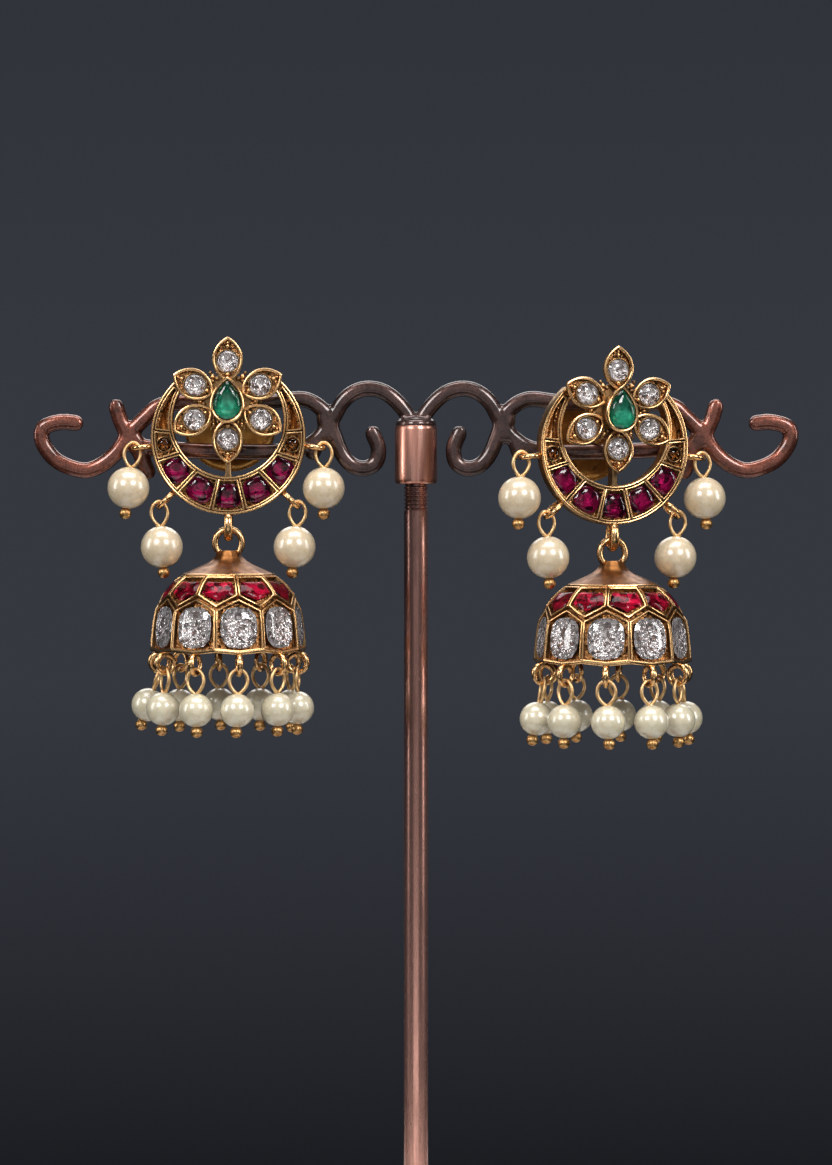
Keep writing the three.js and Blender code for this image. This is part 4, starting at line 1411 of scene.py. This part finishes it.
def dome_shell(shape):
    outside = (
        (0.57, 0.235, 0.57, 0.235, True, False),
        (0.73, 0.32, 0.73, 0.32, True, False),
        (0.925, 0.545, 0.86, 0.437, True, True),
        (0.965, 0.67, 0.965, 0.67, False, False),
        (0.99, 0.88, 0.99, 0.88, False, False),
        (0.995, 0.96, 0.995, 0.98, False, False),
    )
    inside = (
        (0.915, 0.965, 0.915, 0.985, False, False),
        (0.875, 0.67, 0.875, 0.67, False, False),
        (0.78, 0.5, 0.74, 0.46, True, False),
        (0.56, 0.345, 0.56, 0.345, True, False),
        (0.3, 0.27, 0.3, 0.27, True, False),
    )
    rings = [dome_ring(row, 0.52) for row in outside] + [dome_ring(row) for row in inside]

    def slot_of(band, i):
        return RECESS if band < 5 else WARM

    shape.loft(rings, WARM, slot_of=slot_of, smooth=False)


def dome_cap(shape):
    rows = (
        (0.13, -0.012), (0.153, 0.008), (0.173, 0.034), (0.202, 0.064), (0.243, 0.092),
        (0.3, 0.119), (0.4, 0.153), (0.5, 0.188), (0.582, 0.213), (0.598, 0.219), (0.602, 0.227),
        (0.598, 0.238), (0.57, 0.244),
    )
    corners = [around(DOME_TURN + i * FACE_STEP) for i in range(DOME_SIDES + 1)]
    rings = []
    for out, down in rows:
        ring = []
        height = Vector((0, 0, NECK_Z - down * DOME_HEIGHT))
        for first, second in zip(corners, corners[1:]):
            reach = out * DOME_RADIUS
            for k in range(4):
                ring.append((first * reach).lerp(second * reach, k / 4) + height)
        rings.append(ring)
    shape.loft(rings, WARM, slot_of=lambda band, i: GOLD if band in (8, 9, 10) else WARM)
    neck = ((0, -2.66), (0.5, -2.7), (0.9, -2.81), (1.2, -2.97), (1.45, -3.2), (0, -3.3))
    shape.lathe(neck, 28, WARM)


def dome_lip(shape):
    """The bright lip: each side's lower edge dips a little in its middle."""
    section = (
        (0.02, 0.5), (0.09, 0.42), (0.12, 0.28), (0.1, 0.1), (0.03, 0.0), (-0.62, 0.0),
        (-0.72, 0.08), (-0.72, 0.42), (-0.64, 0.5),
    )
    rings = []
    apothem = DOME_RADIUS * math.cos(FACE_STEP / 2)
    chord = DOME_RADIUS * math.sin(FACE_STEP / 2)
    for face in range(DOME_SIDES):
        angle = DOME_TURN + face * FACE_STEP
        right = Vector((math.cos(angle), math.sin(angle), 0))
        for t in (-1, -0.5, 0, 0.5):
            flat = around(angle) * apothem + right * (t * chord)
            low = RIM_Z + 0.3 * abs(t)
            rings.append([
                flat * (1 + off / apothem) + Vector((0, 0, low + rise)) for off, rise in section
            ])

    def slot_of(band, i):
        return ANTIQUE if i in (4, 5, 6, 7) else GOLD

    shape.loft(rings, GOLD, closed=True, slot_of=slot_of)


def dome_cells(shape, angle, chance):
    """One lower cell with its clear stone, and the upper cell with its ruby to the right of it."""
    lower = Facet(angle, LOWER_PROFILE)
    outline = divided(lower_cell(), 3)
    bezel(shape, lower, outline, width=0.21, back=-0.6, edge=0.1, slot=GOLD, round_by=0.07)
    seat = lower.flat(-LOWER_STONE_DOWN)
    stone = cushion(width=4.36, height=4.85, power=2.9)
    depths, slots = (-0.1, 0.2, -0.44), (CLEAR, SILVER_FOIL)
    cut_stone(shape, seat, stone, depths, slots, table_share=0.58, rings=4, chance=chance)
    upper = Facet(angle + FACE_STEP / 2, UPPER_PROFILE)
    outline = divided(upper_cell(), 3)
    bezel(shape, upper, outline, width=0.2, back=-0.55, edge=0.1, slot=GOLD, round_by=0.07)
    seat = upper.flat(-UPPER_STONE_DOWN)
    outline = inset(resampled(upper_cell(), STONE_SIDES), 0.34)
    stone = [(u, v + UPPER_STONE_DOWN + 0.05) for u, v in outline]
    depths, slots = (-0.12, 0.22, -0.42), (RUBY, RUBY_FOIL)
    cut_stone(shape, seat, stone, depths, slots, table_share=0.6, chance=chance)


def build_dome(side, sizes):
    place, _ = earring_place(side)
    shape = Shape()
    chance = random.Random(DOME_SEEDS[side])
    dome_shell(shape)
    dome_cap(shape)
    dome_lip(shape)
    right, up = Vector((1, 0, 0)), Vector((0, 0, 1))
    ring_height = RIM_Z - RIM_RING - RIM_RING_WIRE + SOLDER
    for i in range(DOME_SIDES):
        angle = DOME_TURN + i * FACE_STEP
        dome_cells(shape, angle, chance)
        out = around(angle)
        centre = out * RIM_RING_OUT + Vector((0, 0, ring_height))
        ring_loop(shape, centre, out, up, RIM_RING, RIM_RING_WIRE, count=28, swell=0.45)
        solder = out * (RIM_RING_OUT + 0.1) + Vector((0, 0, RIM_Z + 0.02))
        shape.ball(solder, 0.42, ANTIQUE, 12, 8)
    centre = Vector((0, 0, -DOME_RING))
    ring_loop(shape, centre, right, up, DOME_RING, DOME_RING_WIRE, count=48, sides=14)
    pivot = place @ Matrix.Translation((0, 0, -PIVOT_DOWN * MM))
    piece = make_piece(f"{side}_jhumka_dome", shape, finishes_of(sizes)["gold"], pivot)
    fit(piece, f"{side}_drop", "gold", f"{side}_dome")


# Stage


# Width and middle of the view at the stand, and height of the camera
VIEW_WIDTH = 99.05
VIEW_MIDDLE = 85.35
VIEW_HEIGHT = 92.0
SENSOR_WIDTH = 36.0

# Name, degrees to the right of the front, degrees up, distance, width, height, share of the light
LIGHTS = (
    ("left_softbox", -31, 27, 0.5, 0.13, 0.15, 0.9),
    ("right_softbox", 29, 28, 0.5, 0.13, 0.15, 1.0),
    ("top_softbox", 0, 76, 0.45, 0.4, 0.2, 1.6),
    ("left_strip", -76, 14, 0.5, 0.08, 0.3, 0.6),
    ("right_strip", 74, 14, 0.5, 0.08, 0.3, 0.7),
    ("front_card", 0, 8, 0.75, 0.6, 0.3, 0.25),
    ("low_card", 0, -18, 0.6, 0.5, 0.1, 0.2),
    ("back_card", 180, 40, 0.6, 0.6, 0.3, 1.4),
)


def build_floor(stage):
    half = stage.floor_width / 2
    steps = 24
    places = [-half + 2 * half * i / steps for i in range(steps + 1)]
    points = [Vector((x, y, 0)) for x in places for y in places]
    width = steps + 1
    corners = [i * width + j for i in range(steps) for j in range(steps)]
    shape = Shape()
    shape.add(points, [(c, c + width, c + width + 1, c + 1) for c in corners])
    paint = matt_floor("pale_floor_paint", tuple(stage.floor_colour))
    floor = make_piece("pale_floor", shape, [paint], scale=1.0)
    floor.location.z = -0.00002


def build_backdrop(stage):
    """A plain backdrop that is darker towards the ground."""
    world = bpy.data.worlds.new("slate_backdrop")
    world.use_nodes = True
    tree = world.node_tree
    way = tree.nodes.new("ShaderNodeTexCoord")
    split = tree.nodes.new("ShaderNodeSeparateXYZ")
    feed(tree, split, {"Vector": way.outputs["Generated"]})
    height = spread(tree, split.outputs["Z"], -0.17, 0.15, 0, 1)
    tones = toned(tuple(stage.backdrop_colour), (0.0, 0.3), (0.4, 1), (0.65, 1), (1.0, 0.82))
    feed(tree, tree.nodes["Background"], {"Color": tinted(tree, height, tones)})
    bpy.context.scene.world = world


def build_lights(stage):
    middle = Vector((0, 0, 0.085))
    for name, azimuth, height, distance, wide, tall, share in LIGHTS:
        light = bpy.data.lights.new(name, "AREA")
        light.shape = "RECTANGLE"
        light.size = wide
        light.size_y = tall
        light.energy = stage.light_power * share
        lamp = put(name, light)
        turn, rise = math.radians(azimuth), math.radians(height)
        flat = math.cos(rise)
        away = Vector((math.sin(turn) * flat, -math.cos(turn) * flat, math.sin(rise)))
        lamp.location = middle + away * distance
        lamp.rotation_euler = away.to_track_quat("Z", "Y").to_euler()
        lamp.visible_camera = False


def build_camera(stage):
    lens = bpy.data.cameras.new("camera")
    lens.sensor_fit = "HORIZONTAL"
    lens.sensor_width = SENSOR_WIDTH
    lens.clip_start = 0.01
    lens.clip_end = 10
    camera = put("camera", lens)
    aim = Vector((0, -0.0025, VIEW_MIDDLE * MM))
    camera.location = Vector((0, -stage.camera_distance, VIEW_HEIGHT * MM))
    lens.lens = SENSOR_WIDTH * (aim - camera.location).length / (VIEW_WIDTH * MM)
    camera.rotation_euler = (camera.location - aim).to_track_quat("Z", "Y").to_euler()
    bpy.context.scene.camera = camera


def build_stage(stage):
    view = bpy.context.scene.view_settings
    view.view_transform = "Standard"
    view.look = "None"
    build_floor(stage)
    build_backdrop(stage)
    build_lights(stage)
    build_camera(stage)


# Values that a user changes


def colour_value(name, text, default):
    return bpy.props.FloatVectorProperty(
        name=name, description=text, default=default, size=3, subtype="COLOR", min=0.0, max=1.0
    )


def length_value(name, text, default, low, high):
    return bpy.props.FloatProperty(
        name=name, description=text, default=default, min=low, max=high,
        subtype="DISTANCE", unit="LENGTH", precision=5,
    )


class JhumkaEarringValues(bpy.types.PropertyGroup):
    """Colours of the earrings."""

    gold_colour: colour_value("Gold", "Colour of the polished gold", (1.0, 0.6, 0.275))
    recess_colour: colour_value("Recess", "Colour of the gold in the hollows", (0.17, 0.08, 0.03))
    pearl_colour: colour_value("Pearl", "Body colour of the pearls", (0.745, 0.605, 0.41))
    ruby_colour: colour_value("Ruby", "Colour of the red stones", (0.55, 0.02, 0.1))
    emerald_colour: colour_value("Emerald", "Colour of the green pear stones", (0.09, 0.42, 0.31))


class JhumkaStandValues(bpy.types.PropertyGroup):
    """Sizes and colours of the display stand."""

    bar_width: length_value(
        "Bar width", "Width of the crossbar's scrolls, seen from the front", 0.00192, 0.0012, 0.0022
    )
    bar_thick: length_value(
        "Bar thickness", "Thickness of the crossbar from front to back", 0.0018, 0.0012, 0.0018
    )
    copper_colour: colour_value(
        "Copper", "Colour of the crossbar's outer hooks", (0.29, 0.092, 0.058)
    )
    dark_colour: colour_value(
        "Dark bronze", "Colour of the crossbar near its socket", (0.075, 0.04, 0.034)
    )


class JhumkaStageValues(bpy.types.PropertyGroup):
    """Floor, backdrop, light and camera."""

    floor_width: length_value("Floor width", "Side of the square floor", 0.17, 0.1, 0.18)
    floor_colour: colour_value("Floor", "Colour of the pale floor", (0.56, 0.55, 0.53))
    backdrop_colour: colour_value("Backdrop", "Colour of the plain backdrop", (0.036, 0.04, 0.05))
    light_power: bpy.props.FloatProperty(
        name="Light power", description="Power of the right softbox", default=1.0,
        min=0.1, max=20, unit="POWER",
    )
    camera_distance: length_value(
        "Camera distance", "Camera to the middle of the stand", 0.45, 0.3, 0.8
    )


# Operators


class JHUMKA_OT_base(bpy.types.Operator):
    """Build the round base with its pole"""

    bl_idname = "jhumka.base"
    bl_label = "Base and Pole"

    def execute(self, context):
        build_base(context.scene.jhumka_stand)
        return {"FINISHED"}


class JHUMKA_OT_crossbar(bpy.types.Operator):
    """Build the scrolled crossbar with its socket"""

    bl_idname = "jhumka.crossbar"
    bl_label = "Scrolled Crossbar"

    def execute(self, context):
        build_crossbar(context.scene.jhumka_stand)
        return {"FINISHED"}


class JHUMKA_OT_settings(bpy.types.Operator):
    """Build the gold flower and crescent of each earring, with the small clear stones"""

    bl_idname = "jhumka.settings"
    bl_label = "Flowers and Crescents"

    def execute(self, context):
        for side in SIDES:
            build_setting(side, context.scene.jhumka_earrings)
        return {"FINISHED"}


class JHUMKA_OT_stones(bpy.types.Operator):
    """Build the emerald and the crescent's rubies of each earring"""

    bl_idname = "jhumka.stones"
    bl_label = "Emeralds and Rubies"

    def execute(self, context):
        for side in SIDES:
            build_stones(side, context.scene.jhumka_earrings)
        return {"FINISHED"}


class JHUMKA_OT_ear_backs(bpy.types.Operator):
    """Build the round back on each post"""

    bl_idname = "jhumka.ear_backs"
    bl_label = "Ear Backs"

    def execute(self, context):
        for side in SIDES:
            build_ear_back(side, context.scene.jhumka_earrings)
        return {"FINISHED"}


class JHUMKA_OT_side_pearls(bpy.types.Operator):
    """Hang the four pearls on the side rings of each crescent"""

    bl_idname = "jhumka.side_pearls"
    bl_label = "Side Pearls"

    def execute(self, context):
        build_side_pearls(context.scene.jhumka_earrings)
        return {"FINISHED"}


class JHUMKA_OT_domes(bpy.types.Operator):
    """Build the stone-set dome of each earring"""

    bl_idname = "jhumka.domes"
    bl_label = "Domes"

    def execute(self, context):
        for side in SIDES:
            build_dome(side, context.scene.jhumka_earrings)
        return {"FINISHED"}


class JHUMKA_OT_rim_pearls(bpy.types.Operator):
    """Hang the ten pearls on the rim of each dome"""

    bl_idname = "jhumka.rim_pearls"
    bl_label = "Rim Pearls"

    def execute(self, context):
        build_rim_pearls(context.scene.jhumka_earrings)
        return {"FINISHED"}


class JHUMKA_OT_stage(bpy.types.Operator):
    """Set up the floor, backdrop, lights and camera"""

    bl_idname = "jhumka.stage"
    bl_label = "Stage"

    def execute(self, context):
        build_stage(context.scene.jhumka_stage)
        return {"FINISHED"}


OPERATORS = (
    JHUMKA_OT_stage,
    JHUMKA_OT_base,
    JHUMKA_OT_crossbar,
    JHUMKA_OT_settings,
    JHUMKA_OT_stones,
    JHUMKA_OT_ear_backs,
    JHUMKA_OT_side_pearls,
    JHUMKA_OT_domes,
    JHUMKA_OT_rim_pearls,
)


class JHUMKA_PT_panel(bpy.types.Panel):
    """Pieces of the earrings and their stand"""

    bl_idname = "JHUMKA_PT_panel"
    bl_label = "Jhumka Earrings"
    bl_space_type = "VIEW_3D"
    bl_region_type = "UI"
    bl_category = "Jhumka"

    def draw(self, context):
        column = self.layout.column()
        for operator in OPERATORS:
            column.operator(operator.bl_idname)
        scene = context.scene
        for values in (scene.jhumka_earrings, scene.jhumka_stand, scene.jhumka_stage):
            box = self.layout.box()
            for name in values.__annotations__:
                box.prop(values, name)


CLASSES = (JhumkaEarringValues, JhumkaStandValues, JhumkaStageValues, *OPERATORS, JHUMKA_PT_panel)


def register():
    for item in CLASSES:
        bpy.utils.register_class(item)
    bpy.types.Scene.jhumka_earrings = bpy.props.PointerProperty(type=JhumkaEarringValues)
    bpy.types.Scene.jhumka_stand = bpy.props.PointerProperty(type=JhumkaStandValues)
    bpy.types.Scene.jhumka_stage = bpy.props.PointerProperty(type=JhumkaStageValues)


def unregister():
    for name in ("jhumka_stage", "jhumka_stand", "jhumka_earrings"):
        delattr(bpy.types.Scene, name)
    for item in reversed(CLASSES):
        bpy.utils.unregister_class(item)


def main():
    register()
    bpy.ops.jhumka.stage()
    bpy.ops.jhumka.base()
    bpy.ops.jhumka.crossbar()
    bpy.ops.jhumka.settings()
    bpy.ops.jhumka.stones()
    bpy.ops.jhumka.ear_backs()
    bpy.ops.jhumka.side_pearls()
    bpy.ops.jhumka.domes()
    bpy.ops.jhumka.rim_pearls()


if __name__ == "__main__":
    main()
